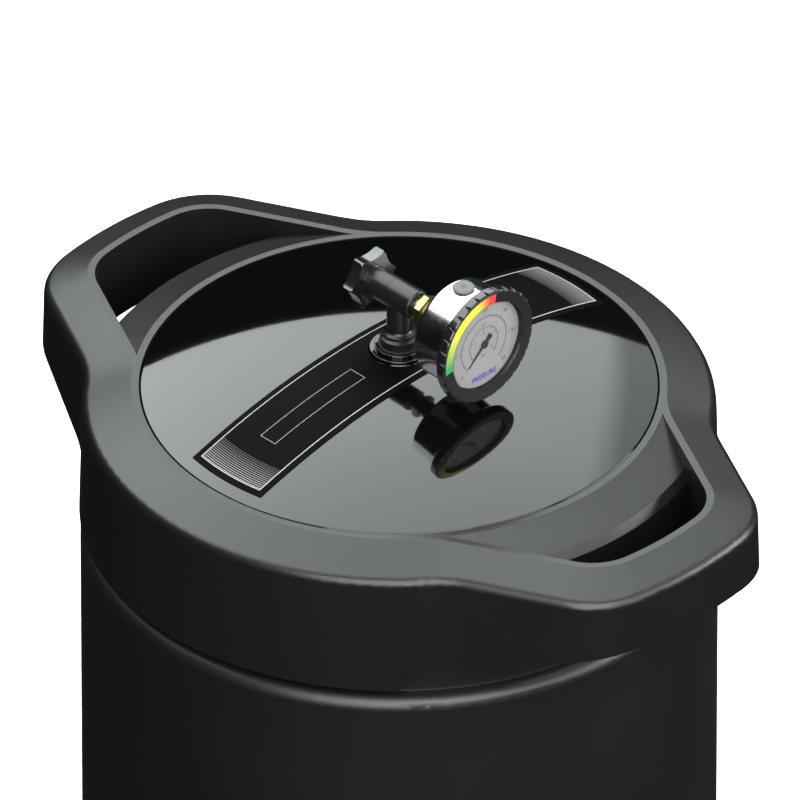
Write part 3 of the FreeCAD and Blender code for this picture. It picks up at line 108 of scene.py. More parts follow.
class FilterSizes(bpy.types.PropertyGroup):
    """Sizes of the pieces that are modelled here. Each matches the CAD solid that it stands for."""

    dome_radius: FloatProperty(
        name="Dome radius", description="Outer radius of the lid's dome",
        default=129.8 * MM, unit="LENGTH")
    dome_rise: FloatProperty(
        name="Dome rise", description="Height of the dome's crown above the land",
        default=21.5 * MM, unit="LENGTH")
    lid_wall: FloatProperty(
        name="Lid wall", description="Thickness of the dome", default=6.0 * MM, unit="LENGTH")
    boss_radius: FloatProperty(
        name="Boss radius", description="Radius of the boss that the stem stands on",
        default=15.0 * MM, unit="LENGTH")
    label_width: FloatProperty(
        name="Label width", description="Width of the printed strip across the lid",
        default=48.4 * MM, unit="LENGTH")
    label_reach: FloatProperty(
        name="Label reach", description="Radius of the printed strip's ends",
        default=123.0 * MM, unit="LENGTH")
    label_thickness: FloatProperty(
        name="Label thickness", description="Thickness of the printed strip",
        default=0.4 * MM, unit="LENGTH")
    edge_round: FloatProperty(
        name="Edge round", description="Radius that moulded edges are eased to",
        default=0.5 * MM, unit="LENGTH")
    scale_radius: FloatProperty(
        name="Scale radius", description="Radius of the dial's outer scale",
        default=15.5 * MM, unit="LENGTH")
    inner_scale_radius: FloatProperty(
        name="Inner scale radius", description="Radius of the dial's inner scale",
        default=9.8 * MM, unit="LENGTH")
    tick_length: FloatProperty(
        name="Tick length", description="Length of the dial's long ticks",
        default=2.0 * MM, unit="LENGTH")
    ink_width: FloatProperty(
        name="Ink width", description="Width of the lines on the dial",
        default=0.35 * MM, unit="LENGTH")
    ink_height: FloatProperty(
        name="Ink height", description="Height of the ink above the dial",
        default=0.04 * MM, unit="LENGTH")
    pleat_count: IntProperty(
        name="Pleats", description="Number of folds of the cartridge's fabric", default=72, min=12)
    pleat_depth: FloatProperty(
        name="Pleat depth", description="Depth of the folds from crest to valley",
        default=60.0 * MM, unit="LENGTH")
    sheet_thickness: FloatProperty(
        name="Sheet thickness", description="Thickness of the cartridge's fabric",
        default=0.9 * MM, unit="LENGTH")
    round_steps: IntProperty(
        name="Round steps", description="Steps round a full turn of a large turned piece",
        default=256, min=32)


class FilterColours(bpy.types.PropertyGroup):
    """Colours of the finishes."""

    plastic: FloatVectorProperty(
        name="Black plastic", description="Colour of the moulded black plastic",
        default=(0.0045, 0.0045, 0.005), subtype="COLOR", size=3, min=0.0, max=1.0)
    print_white: FloatVectorProperty(
        name="Print white", description="Colour of the white print on the label",
        default=(0.26, 0.265, 0.265), subtype="COLOR", size=3, min=0.0, max=1.0)
    dial_blue: FloatVectorProperty(
        name="Dial blue", description="Colour of the word on the dial",
        default=(0.05, 0.02, 0.30), subtype="COLOR", size=3, min=0.0, max=1.0)
    marker_green: FloatVectorProperty(
        name="Clean range", description="Colour of the marker ring's clean range",
        default=(0.018, 0.175, 0.05), subtype="COLOR", size=3, min=0.0, max=1.0)
    marker_yellow: FloatVectorProperty(
        name="Service range", description="Colour of the marker ring's service range",
        default=(0.44, 0.37, 0.025), subtype="COLOR", size=3, min=0.0, max=1.0)
    marker_red: FloatVectorProperty(
        name="Cleaning range", description="Colour of the marker ring's cleaning range",
        default=(0.34, 0.022, 0.018), subtype="COLOR", size=3, min=0.0, max=1.0)


def studio():
    return bpy.context.scene.filter_studio


def sizes():
    return bpy.context.scene.filter_sizes


def colours():
    return bpy.context.scene.filter_colours


class Value:
    """A number that a material works out, as a socket that takes arithmetic."""

    def __init__(self, recipe, socket):
        self.recipe = recipe
        self.socket = socket

    def maths(self, operation, *others):
        return self.recipe.node("ShaderNodeMath", {"operation": operation}, self, *others)

    def __add__(self, other):
        return self.maths("ADD", other)

    def __radd__(self, other):
        return self.maths("ADD", other)

    def __sub__(self, other):
        return self.maths("SUBTRACT", other)

    def __rsub__(self, other):
        return self.recipe.node("ShaderNodeMath", {"operation": "SUBTRACT"}, other, self)

    def __mul__(self, other):
        return self.maths("MULTIPLY", other)

    def __rmul__(self, other):
        return self.maths("MULTIPLY", other)

    def __truediv__(self, other):
        return self.maths("DIVIDE", other)

    def __gt__(self, other):
        return self.maths("GREATER_THAN", other)

    def __lt__(self, other):
        return self.maths("LESS_THAN", other)

    def root(self):
        return self.maths("SQRT")

    def absolute(self):
        return self.maths("ABSOLUTE")

    def least(self, other):
        return self.maths("MINIMUM", other)

    def most(self, other):
        return self.maths("MAXIMUM", other)


class Recipe:
    """A material that is being written: its nodes and its surface shader."""

    def __init__(self, name, **constants):
        self.material = bpy.data.materials.new(name + FINISH)
        self.material.use_nodes = True
        self.tree = self.material.node_tree
        self.surface = self.tree.nodes["Principled BSDF"]
        for words, value in constants.items():
            socket = self.surface.inputs[words.replace("_", " ")]
            socket.default_value = (*value, 1.0) if hasattr(value, "__len__") else value

    def node(self, kind, settings, *values, out=0, **named):
        """Makes a node, sets it up, feeds its sockets and hands back one of its outputs."""
        made = self.tree.nodes.new(kind)
        for word, value in settings.items():
            setattr(made, word, value)
        for place, value in list(enumerate(values)) + list(named.items()):
            key = place if isinstance(place, int) else place.replace("_", " ")
            self.feed(made.inputs[key], value)
        return Value(self, made.outputs[out])

    def feed(self, socket, value):
        if isinstance(value, Value):
            self.tree.links.new(value.socket, socket)
        elif socket.type == "RGBA" and hasattr(value, "__len__") and len(value) == 3:
            socket.default_value = (*value, 1.0)
        else:
            socket.default_value = value

    def set(self, word, value):
        self.feed(self.surface.inputs[word], value)

    def place(self):
        """Object coordinates, which are the filter's own, in metres."""
        return self.node("ShaderNodeTexCoord", {}, out="Object")

    def shifted(self, offset):
        """Object coordinates measured from another point."""
        return self.node("ShaderNodeVectorMath", {"operation": "SUBTRACT"}, self.place(),
                         tuple(offset))

    def parts(self, vector):
        """The three coordinates of a vector as numbers."""
        made = self.tree.nodes.new("ShaderNodeSeparateXYZ")
        self.feed(made.inputs[0], vector)
        return [Value(self, socket) for socket in made.outputs]

    def noise(self, scale, detail=2.0, roughness=0.5, vector=None):
        where = vector or self.place()
        return self.node("ShaderNodeTexNoise", {}, Vector=where, Scale=scale, Detail=detail,
                         Roughness=roughness)

    def mix(self, factor, first, second):
        """A colour between two colours."""
        made = self.tree.nodes.new("ShaderNodeMix")
        made.data_type = "RGBA"
        for socket, value in zip((made.inputs[0], made.inputs[6], made.inputs[7]),
                                 (factor, first, second)):
            self.feed(socket, value)
        return Value(self, made.outputs[2])

    def bump(self, height, distance, strength):
        """A normal from a height of 0 to 1, where 1 stands a distance in metres proud."""
        return self.node("ShaderNodeBump", {}, Strength=strength, Distance=distance, Height=height)


def towards(azimuth, elevation):
    """The direction of a place that lies at an azimuth from the front and an elevation."""
    return Vector((math.sin(azimuth) * math.cos(elevation),
                   -math.cos(azimuth) * math.cos(elevation), math.sin(elevation)))


def dress(piece, material):
    """Gives a piece one material."""
    if piece.data.materials:
        for index in range(len(piece.data.materials)):
            piece.data.materials[index] = material
    else:
        piece.data.materials.append(material)


def moulded_plastic(name, roughness, grain, grain_depth, specular=0.5, colour=None):
    """Moulded plastic: a fine mould grain and slow changes of sheen."""
    recipe = Recipe(name, Base_Color=tuple(colour or colours().plastic), IOR=1.5,
                    Specular_IOR_Level=specular, Coat_Roughness=0.08)
    smear = recipe.noise(14.0, 4.0, 0.6)
    speck = recipe.noise(grain, 2.0, 0.55)
    recipe.set("Roughness", smear * 0.10 + (roughness - 0.05))
    recipe.set("Normal", recipe.bump(speck, grain_depth, 0.6))
    return recipe


def deselect():
    if bpy.context.object and bpy.context.object.mode != "OBJECT":
        bpy.ops.object.mode_set(mode="OBJECT")
    bpy.ops.object.select_all(action="DESELECT")


def pick(piece):
    """Makes a piece the one that the tools work on."""
    deselect()
    piece.select_set(True)
    bpy.context.view_layer.objects.active = piece


def apply_modifier(piece, modifier):
    """Applies a modifier of the piece that is picked."""
    bpy.ops.object.modifier_apply(modifier=modifier.name)
    return piece


def merge_near(gap=0.003 * MM):
    """Joins points of the mesh in edit mode that lie on each other, and selects all of it."""
    bpy.ops.mesh.select_all(action="SELECT")
    bpy.ops.mesh.remove_doubles(threshold=gap)
    bpy.ops.mesh.select_all(action="SELECT")


def close_mesh():
    """Turns every face of the mesh in edit mode outward, and leaves edit mode."""
    bpy.ops.mesh.select_all(action="SELECT")
    bpy.ops.mesh.normals_make_consistent(inside=False)
    bpy.ops.object.mode_set(mode="OBJECT")


def start_point(name):
    """A new piece that is one point at the origin, ready to be drawn from in edit mode."""
    deselect()
    bpy.ops.mesh.primitive_plane_add(size=MM)
    piece = bpy.context.object
    piece.name = name
    piece.data.name = name
    bpy.ops.object.mode_set(mode="EDIT")
    bpy.ops.mesh.merge(type="CENTER")
    return piece


def draw_line(points):
    """Extrudes the one selected point along a line of places."""
    here = Vector((0, 0, 0))
    for index, there in enumerate(points):
        step = Vector(there) - here
        if index == 0:
            bpy.ops.transform.translate(value=step)
        else:
            bpy.ops.mesh.extrude_vertices_move(TRANSFORM_OT_translate={"value": step})
        here = Vector(there)


def eased(corners, steps=4):
    """Turns a line's corners into arcs. A corner is (x, y) or (x, y, radius)."""
    places = [Vector(corner[:2]) for corner in corners]
    closed = (places[0] - places[-1]).length < 1e-9
    line = []
    for index, corner in enumerate(corners):
        here = places[index]
        inner = 0 < index < len(corners) - 1
        if len(corner) == 2 or not (inner or closed):
            line.append(here)
            continue
        before = places[index - 1] if inner else places[-2]
        after = places[index + 1] if inner else places[1]
        back = (before - here).normalized()
        ahead = (after - here).normalized()
        half = back.angle(ahead) / 2
        reach = corner[2] / math.tan(half)
        middle = here + (back + ahead).normalized() * (corner[2] / math.sin(half))
        start = here + back * reach - middle
        sweep = start.angle_signed(here + ahead * reach - middle)
        for step in range(steps + 1):
            line.append(middle + Matrix.Rotation(-sweep * step / steps, 2) @ start)
    if closed:
        line[-1] = line[0]
    return line


def smooth(piece, angle=32.0):
    """Smooth shading whose large faces stay flat beside small rounds."""
    pick(piece)
    bpy.ops.object.shade_smooth_by_angle(angle=math.radians(angle))
    weigh = piece.modifiers.new("weighted_normals", "WEIGHTED_NORMAL")
    weigh.keep_sharp = True
    weigh.mode = "FACE_AREA_WITH_ANGLE"
    return apply_modifier(piece, weigh)


def turned(name, corners):
    """A closed piece turned about the filter's axis, from corners of radius and height."""
    piece = start_point(name)
    draw_line([(point.x, 0, point.y) for point in eased(corners)])
    bpy.ops.mesh.select_all(action="SELECT")
    bpy.ops.mesh.spin(steps=sizes().round_steps, angle=2 * math.pi, center=(0, 0, 0), axis=AXIS_Z)
    merge_near()
    close_mesh()
    return smooth(piece)


def copied(node, name):
    """A copy of a CAD node's mesh with its loose triangles joined."""
    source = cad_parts[node]
    piece = bpy.data.objects.new(name, source.data.copy())
    bpy.context.scene.collection.objects.link(piece)
    piece.data.name = name
    piece.data.materials.clear()
    pick(piece)
    if piece.data.has_custom_normals:
        bpy.ops.mesh.customdata_custom_splitnormals_clear()
    bpy.ops.object.mode_set(mode="EDIT")
    merge_near(0.002 * MM)
    bpy.ops.object.mode_set(mode="OBJECT")
    return piece


def ease_edges(piece, width, angle):
    """Rounds every edge that is sharper than an angle in degrees."""
    ease = piece.modifiers.new("eased_edges", "BEVEL")
    ease.width = width
    ease.segments = 2
    ease.limit_method = "ANGLE"
    ease.angle_limit = math.radians(angle)
    ease.use_clamp_overlap = True
    pick(piece)
    return smooth(apply_modifier(piece, ease))


def refined(node, body, width, angle=20.0):
    """A CAD node's own shape with eased edges, in its slot's finish."""
    piece = ease_edges(copied(node, node + "_piece"), width, angle)
    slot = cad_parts[node].data.materials[0].name.removesuffix(FINISH)
    return seat(piece, body, slot, node)


def refined_all(body, width, *nodes):
    """Refines several nodes of one body with edges of one width."""
    for node in nodes:
        refined(node, body, width)


def seat(piece, body, slot, *nodes):
    """Dresses a finished piece, lets it ride on its body and hides the CAD nodes that it stands
    for.
    """
    dress(piece, bpy.data.materials[slot + FINISH])
    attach(piece, body)
    if nodes:
        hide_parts(*nodes)
    return piece


class FILTER_OT_stage(bpy.types.Operator):
    """Sets up the floor, the camera, the softboxes and the room"""
    bl_idname = "filter.stage"
    bl_label = "Stage"

    FLOOR_RADIUS = 12.0
    # Radius at which the floor starts to glow, and the width over which the glow grows
    GLOW_START, GLOW_WIDTH = 1.5, 2.5
    # How far right of the filter's axis the camera aims
    AIM_ASIDE = 0.35 * MM
    # Softboxes round the camera: turn from it and height in degrees, width and height in metres
    BOXES = {"front": (0, 30, (3.0, 2.6)), "corner": (50, 28, (1.6, 2.0)),
             "side": (92, 14, (2.0, 1.1))}
    BOX_DISTANCE = 3.0
    # The overhead softbox: height above the lid, and its edges seen from the camera
    OVERHEAD_HEIGHT = 2.0
    NEAR, FAR = -0.6, 5.6
    LEFT, RIGHT = -2.2, 2.6
    # Where its light ends, and how much further off that is for each metre to the right
    LIGHT_END, END_SLANT = 4.3, 0.62
    # Its share of the full light in the middle, and the loss for each metre to the right
    MIDDLE_SHARE, SIDE_LOSS = 0.6, 0.095
    # Its brightest line, the loss for each metre from it, and how much less that is at the right
    BRIGHT_LINE, LINE_LOSS, LINE_GAIN = 1.5, 0.12, 0.03
    # Where its right end darkens, how that moves with distance, its slope and its most
    DARK_START, DARK_SLANT, DARK_SLOPE, DARK_MOST = 0.76, 0.15, 2.8, 0.5

    def execute(self, context):
        self.make_floor()
        self.make_camera()
        self.make_lights()
        self.make_room()
        return {"FINISHED"}

    def make_floor(self):
        """A pale floor that glows where the lights no longer reach it, so that it stays pale."""
        deselect()
        bpy.ops.mesh.primitive_circle_add(vertices=96, radius=self.FLOOR_RADIUS, fill_type="NGON")
        floor = bpy.context.object
        floor.name = "floor"
        recipe = Recipe("floor_paint", Roughness=0.9, Specular_IOR_Level=0.1)
        cloud = recipe.noise(1.5, 2.0)
        pale = tuple(studio().floor_colour)
        recipe.set("Base Color", recipe.mix(cloud, tuple(level * 0.97 for level in pale), pale))
        x, y = recipe.parts(recipe.place())[:2]
        reach = (x * x + y * y).root()
        far = ((reach - self.GLOW_START) / self.GLOW_WIDTH).most(0.0).least(1.0)
        recipe.set("Emission Color", recipe.mix(far, BLACK, pale))
        recipe.set("Emission Strength", 1.0)
        dress(floor, recipe.material)
        floor.visible_glossy = False

    def make_camera(self):
        setup = studio()
        azimuth = setup.azimuth
        right = Vector((math.cos(azimuth), math.sin(azimuth), 0))
        back = towards(azimuth, setup.elevation)
        data = bpy.data.cameras.new("camera")
        data.lens = setup.lens
        data.sensor_width = 36.0
        data.clip_start = 1.0
        data.clip_end = 60.0
        distance = setup.view_width * setup.lens / data.sensor_width
        camera = bpy.data.objects.new("camera", data)
        target = AXIS_Z * setup.target_height + right * self.AIM_ASIDE
        camera.location = target + back * distance
        camera.rotation_euler = back.to_track_quat("Z", "Y").to_euler()
        bpy.context.scene.collection.objects.link(camera)
        bpy.context.scene.camera = camera

    def add_box(self, name, turn, rise, size, radiance):
        """A softbox that faces the lid, turned from the camera's side and raised."""
        way = towards(studio().azimuth + math.radians(turn), math.radians(rise))
        data = bpy.data.lights.new(name, "AREA")
        data.shape = "RECTANGLE"
        data.size, data.size_y = size
        data.energy = radiance * math.pi * size[0] * size[1]
        lamp = bpy.data.objects.new(name, data)
        lamp.location = AXIS_Z * LAND + way * self.BOX_DISTANCE
        lamp.rotation_euler = way.to_track_quat("Z", "Y").to_euler()
        lamp.visible_camera = False
        bpy.context.scene.collection.objects.link(lamp)

    def make_lights(self):
        self.add_overhead_box()
        for place, box in self.BOXES.items():
            self.add_box(place + "_box", *box, getattr(studio(), place + "_radiance"))

    def add_overhead_box(self):
        """The large softbox overhead, which is darker at its right end and far off."""
        azimuth = studio().azimuth
        right = Vector((math.cos(azimuth), math.sin(azimuth), 0))
        ahead = Vector((-math.sin(azimuth), math.cos(azimuth), 0))
        width, depth = self.RIGHT - self.LEFT, self.FAR - self.NEAR
        middle = Vector(((self.LEFT + self.RIGHT) / 2, (self.NEAR + self.FAR) / 2))
        centre = (ahead * middle.y + right * middle.x
                  + AXIS_Z * (LAND + self.OVERHEAD_HEIGHT))
        deselect()
        bpy.ops.mesh.primitive_grid_add(x_subdivisions=2, y_subdivisions=2, size=1.0,
                                        location=centre, rotation=(0, 0, azimuth))
        box = bpy.context.object
        box.name = "softbox"
        box.scale = (width, depth, 1.0)
        recipe = Recipe("softbox", Roughness=1.0, Specular_IOR_Level=0.0)
        recipe.set("Base Color", BLACK)
        side, along = recipe.parts(recipe.place())[:2]
        across = side * width + middle.x
        away = along * depth + middle.y
        rightward = across.most(0.0)
        lit = away < rightward * self.END_SLANT + self.LIGHT_END
        past = (across - away * self.DARK_SLANT - self.DARK_START).most(0.0)
        dark = (past * self.DARK_SLOPE).least(self.DARK_MOST)
        loss = self.LINE_LOSS - rightward * self.LINE_GAIN
        dimmed = (1.0 - (away - self.BRIGHT_LINE).absolute() * loss) * (1.0 - dark)
        share = (self.MIDDLE_SHARE - across * self.SIDE_LOSS) * dimmed * lit
        full = studio().box_radiance / self.MIDDLE_SHARE
        bright = tuple(full * part for part in studio().box_tint)
        recipe.set("Emission Color", recipe.mix(share, BLACK, bright))
        recipe.set("Emission Strength", 1.0)
        dress(box, recipe.material)
        box.visible_camera = False

    def make_room(self):
        """A dark room that the camera sees as a pale backdrop."""
        world = bpy.data.worlds.new("room")
        bpy.context.scene.world = world
        world.use_nodes = True
        tree = world.node_tree
        level = studio().world_level
        background = tree.nodes["Background"]
        background.inputs["Color"].default_value = (level, level, level, 1.0)
        backdrop = tree.nodes.new("ShaderNodeBackground")
        backdrop.inputs["Color"].default_value = (0.9, 0.9, 0.9, 1.0)
        path = tree.nodes.new("ShaderNodeLightPath")
        mixed = tree.nodes.new("ShaderNodeMixShader")
        tree.links.new(path.outputs["Is Camera Ray"], mixed.inputs[0])
        tree.links.new(background.outputs[0], mixed.inputs[1])
        tree.links.new(backdrop.outputs[0], mixed.inputs[2])
        tree.links.new(mixed.outputs[0], tree.nodes["World Output"].inputs["Surface"])
        bpy.context.scene.view_settings.view_transform = "Standard"


class FILTER_OT_finishes(bpy.types.Operator):
    """Makes every finish and gives each CAD node its own"""
    bl_idname = "filter.finishes"
    bl_label = "Finishes"

    # Roughness, size and depth of the mould grain, specular level and colour of each plastic
    PLASTICS = {
        "tank_plastic": (0.42, 900.0, 0.00006, 0.45, (0.0026, 0.0026, 0.0028)),
        "ring_plastic": (0.36, 1400.0, 0.00005, 0.38, (0.0032, 0.0032, 0.0035)),
        "lid_plastic": (0.05, 60.0, 0.000004, 0.5, (0.0012, 0.0012, 0.0013)),
        "fitting_plastic": (0.30, 1200.0, 0.00003, 0.36, (0.005, 0.005, 0.0055)),
        "pipe_plastic": (0.35, 900.0, 0.00004),
        "slip_plastic": (0.5, 700.0, 0.00004, 0.4, (0.32, 0.32, 0.30)),
        "white_moulding": (0.45, 900.0, 0.00004, 0.5, (0.29, 0.29, 0.28)),
    }

    def execute(self, context):
        for name, look in self.PLASTICS.items():
            moulded_plastic(name, *look)
        self.knob_plastic()
        self.marker_plastic()
        window = moulded_plastic("clear_window", 0.09, 90.0, 0.000002, 0.5, (0.05, 0.05, 0.05))
        window.set("Alpha", 0.12)
        self.label_film()
        self.rubber("seal_rubber", (0.01, 0.01, 0.01))
        self.plug_rubber()
        self.turned_metal("brass_fitting", (0.26, 0.235, 0.11), (0.19, 0.16, 0.07), 0.32)
        self.turned_metal("bourdon_brass", (0.72, 0.54, 0.28), (0.42, 0.28, 0.14), 0.36)
        self.turned_metal("steel_case", (0.74, 0.74, 0.73), (0.66, 0.66, 0.65), 0.16)
        self.paint("dial_face", (0.23, 0.23, 0.23), 0.5)
        self.paint("pointer_black", (0.006, 0.006, 0.006), 0.45)
        self.cast_urethane()
        self.spun_fabric()
        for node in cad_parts.values():
            slot = node.data.materials[0].name.split(".")[0]
            dress(node, bpy.data.materials[slot + FINISH])
        return {"FINISHED"}

    def knob_plastic(self):
        """The knob's plastic: its sleeve is as dull as the tee, its star is polished by hands."""
        recipe = moulded_plastic("knob_plastic", 0.30, 1200.0, 0.00002, 0.36,
                                 (0.005, 0.005, 0.0055))
        x = recipe.parts(recipe.place())[0]
        star_depth = 7 * MM
        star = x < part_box("bleed_knob")[0].x + star_depth
        recipe.set("Coat Weight", star * 0.9)
        recipe.set("Roughness", 0.30 - star * 0.14)

    def marker_plastic(self):
        """The marker ring's plastic: glossy round its rim, where it is held, dull on its face."""
        recipe = moulded_plastic("marker_plastic", 0.24, 900.0, 0.00002, 0.25)
        x = recipe.parts(recipe.place())[0]
        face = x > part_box("marker_ring")[1].x - 0.4 * MM
        recipe.set("Coat Weight", 0.6 - face * 0.6)
        recipe.set("Roughness", face * 0.26 + 0.24)

    def rubber(self, name, colour):
        """Dull rubber with a pale bloom in patches and a fine pitted skin."""
        recipe = Recipe(name, Specular_IOR_Level=0.35)
        bloom = recipe.noise(60.0, 5.0, 0.65)
        pale = tuple(level * 1.8 + 0.008 for level in colour)
        recipe.set("Base Color", recipe.mix((bloom - 0.45) * 1.6, colour, pale))
        recipe.set("Roughness", bloom * 0.2 + 0.52)
        recipe.set("Normal", recipe.bump(recipe.noise(1800.0, 3.0), 0.00004, 0.5))
        return recipe

    def plug_rubber(self):
        """Grey rubber with painted shade in the plug's middle, where it is pushed in."""
        grey = (0.085, 0.09, 0.09)
        recipe = self.rubber("grey_rubber", grey)
        low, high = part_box("gauge_plug")
        x, y = recipe.parts(recipe.shifted((low + high) / 2))[:2]
        hollow_shade_radius = 2.6 * MM
        # Painted shade: darkest in the plug's middle, where it is pushed in, fading out at this
        # radius.
        hollow_shade = (1.0 - (x * x + y * y).root() / hollow_shade_radius).most(0.0)
        recipe.set("Base Color", recipe.mix(hollow_shade, grey, (0.045, 0.045, 0.045)))

    def turned_metal(self, name, bright, dull, roughness):
        """Metal with fine marks round the gauge's axis and a slow tarnish. The case is near black
        inside, behind its rolled edge."""
        recipe = Recipe(name, Metallic=1.0)
        x, y, z = recipe.parts(recipe.shifted(GAUGE_CENTRE))
        reach = (y * y + z * z).root()
        marks = recipe.node("ShaderNodeCombineXYZ", {}, x * 9000.0, reach * 9000.0, 0.0)
        lathe = recipe.noise(1.0, 2.0, 0.5, marks)
        tarnish = recipe.noise(90.0, 4.0, 0.6)
        metal = recipe.mix((tarnish - 0.42) * 1.5, bright, dull)
        if name == "steel_case":
            # Near black inside, behind the rolled edge, where the bare metal would reflect the
            # dial.
            inside = (reach < GAUGE_BOX[1].y - 0.6 * MM) * (x > GAUGE_BOX[0].x + 2 * MM)
            metal = recipe.mix(inside, metal, (0.012, 0.012, 0.012))
        recipe.set("Base Color", metal)
        recipe.set("Roughness", tarnish * 0.12 + lathe * 0.08 + (roughness - 0.1))
        recipe.set("Normal", recipe.bump(lathe, 0.000006, 0.4))

    def paint(self, name, colour, roughness):
        """Baked paint with a faint orange peel and a trace of grime."""
        recipe = Recipe(name)
        grime = recipe.noise(120.0, 4.0, 0.6)
        darker = tuple(level * 0.93 for level in colour)
        recipe.set("Base Color", recipe.mix(grime, colour, darker))
        recipe.set("Roughness", grime * 0.14 + (roughness - 0.07))
        recipe.set("Normal", recipe.bump(recipe.noise(1500.0, 2.0), 0.000008, 0.4))

    def cast_urethane(self):
        """Blue cast urethane: cloudy, with small burst bubbles."""
        recipe = Recipe("cap_blue", Specular_IOR_Level=0.45)
        cloud = recipe.noise(35.0, 4.0, 0.6)
        recipe.set("Base Color", recipe.mix(cloud, (0.007, 0.035, 0.14), (0.014, 0.055, 0.185)))
        bubbles = recipe.node("ShaderNodeTexVoronoi", {}, Vector=recipe.place(), Scale=160.0)
        pits = (bubbles < 0.12) * -1.0
        recipe.set("Roughness", cloud * 0.2 + 0.3)
        recipe.set("Normal", recipe.bump(pits + cloud * 0.3, 0.0002, 0.5))

    def spun_fabric(self):
        """White spun-bonded polyester: matted fibres, and grey dust that has settled in it."""
        recipe = Recipe("pleat_fabric", Specular_IOR_Level=0.2)
        x, y, z = recipe.parts(recipe.place())
        long_way = recipe.node("ShaderNodeCombineXYZ", {}, x * 900.0, y * 900.0, z * 250.0)
        across = recipe.node("ShaderNodeCombineXYZ", {}, x * 300.0, y * 300.0, z * 1100.0)
        fibres = recipe.noise(1.0, 4.0, 0.7, long_way) + recipe.noise(1.0, 4.0, 0.7, across)
        dust = recipe.noise(18.0, 4.0, 0.6)
        recipe.set("Base Color", recipe.mix((dust - 0.35) * 1.2, (0.34, 0.345, 0.345),
                                            (0.27, 0.27, 0.257)))
        recipe.set("Roughness", fibres * 0.1 + 0.78)
        recipe.set("Normal", recipe.bump(fibres, 0.00012, 0.7))

    def label_film(self):
        """Matt black film with a white outline and fine arcs that fade in from each end."""
        recipe = Recipe("label_film", Roughness=0.5, Specular_IOR_Level=0.02)
        x, y = recipe.parts(recipe.place())[:2]
        size = sizes()
        side = x.absolute()
        reach = (x * x + y * y).root()
        margin, line = 3.3 * MM, 0.5 * MM
        half = size.label_width / 2
        end = size.label_reach - margin
        inside = (reach < end) * (side < half - margin)
        core = (reach < end - line) * (side < half - margin - line)
        outline = inside - core
        fade, pitch = 15.5 * MM, 1.15 * MM
        wave = recipe.node("ShaderNodeMath", {"operation": "FRACT"}, reach / pitch)
        share = (reach - (end - fade)) / fade
        arcs = (wave < 0.36) * core * (share * 0.7 + 0.12) * (share > 0.0)
        box_middle, box_long, box_half, thin = -60.4 * MM, 31.5 * MM, 5.2 * MM, 0.3 * MM
        along = (y - box_middle).absolute()
        box = (along < box_long) * (side < box_half)
        box_core = (along < box_long - thin) * (side < box_half - thin)
        mark = (outline + arcs + (box - box_core) * 0.75).least(1.0)
        black = (0.0008, 0.0008, 0.0009)
        recipe.set("Base Color", recipe.mix(mark, black, tuple(colours().print_white)))
        speck = recipe.noise(2500.0, 2.0)
        recipe.set("Normal", recipe.bump(speck, 0.00001, 0.4))


class FILTER_OT_lock_ring(bpy.types.Operator):
    """Makes the lock ring with its two handles"""
    bl_idname = "filter.lock_ring"
    bl_label = "Lock ring"

    def execute(self, context):
        refined("lock_ring", "lock_ring", 0.6 * MM)
        refined("glide_ring", "glide_ring", 0.3 * MM)
        return {"FINISHED"}


class FILTER_OT_lid(bpy.types.Operator):
    """Makes the lid's dome with its boss, rim, flange and plug"""
    bl_idname = "filter.lid"
    bl_label = "Lid"

    def execute(self, context):
        size = sizes()
        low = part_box("lid_shell")[0].z
        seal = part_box("lid_seal")
        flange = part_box("lid_shell")[1].x
        gap, seal_gap = 0.3 * MM, 0.08 * MM
        flange_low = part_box("tank_shell")[1].z + gap
        flange_top = flange_low + 7.4 * MM
        plug = seal[1].x - seal_gap
        groove_floor = seal[1].x - (seal[1].z - seal[0].z) - seal_gap
        groove = (seal[0].z - gap, seal[1].z + gap)
        inner = plug - 9.7 * MM
        rim = size.dome_radius
        wall = size.lid_wall
        under = rim - wall
        boss = size.boss_radius
        root = boss + 4 * MM
        hole, seat_radius, step_radius = 8.1 * MM, 12.5 * MM, 14.0 * MM
        top, step = LAND + 25.5 * MM, LAND + 23.6 * MM
        blend = 1.2 * MM
        outside = [(radius, dome_height(radius))
                   for radius in spaced(rim - blend, boss + blend, 64)]
        inside = [(radius, dome_height(radius, wall)) for radius in spaced(root, under, 24)]
        ease = size.edge_round
        corners = [
            (hole, top), (seat_radius, top, ease), (seat_radius, step), (step_radius, step),
            (boss, step, ease), (boss, dome_height(boss), 1.0 * MM)]
        corners += outside[::-1]
        corners += [
            (rim, LAND, 1.0 * MM), (rim, flange_top), (flange, flange_top, 1.0 * MM),
            (flange, flange_low, ease), (plug, flange_low), (plug, groove[1]),
            (groove_floor, groove[1]), (groove_floor, groove[0]), (plug, groove[0]),
            (plug, low, 1.0 * MM), (inner, low, 1.0 * MM), (inner, flange_low - 6 * MM),
            (under, flange_low + 2 * MM, 2 * MM)]
        corners += inside[::-1]
        corners += [(hole, dome_height(root, wall)), (hole, top)]
        lid = turned("lid_dome", corners)
        seat(lid, "lid", "lid_plastic", "lid_shell")
        return {"FINISHED"}


def spaced(start, stop, count):
    """Evenly spaced values from a start to a stop."""
    return [start + (stop - start) * step / count for step in range(count + 1)]


def dome_height(radius, inset=0.0):
    """Height of the dome's sphere, moved in by an inset, at a radius."""
    size = sizes()
    ball = (size.dome_radius ** 2 + size.dome_rise ** 2) / (2 * size.dome_rise)
    centre = LAND + size.dome_rise - ball
    return centre + math.sqrt((ball - inset) ** 2 - radius ** 2)


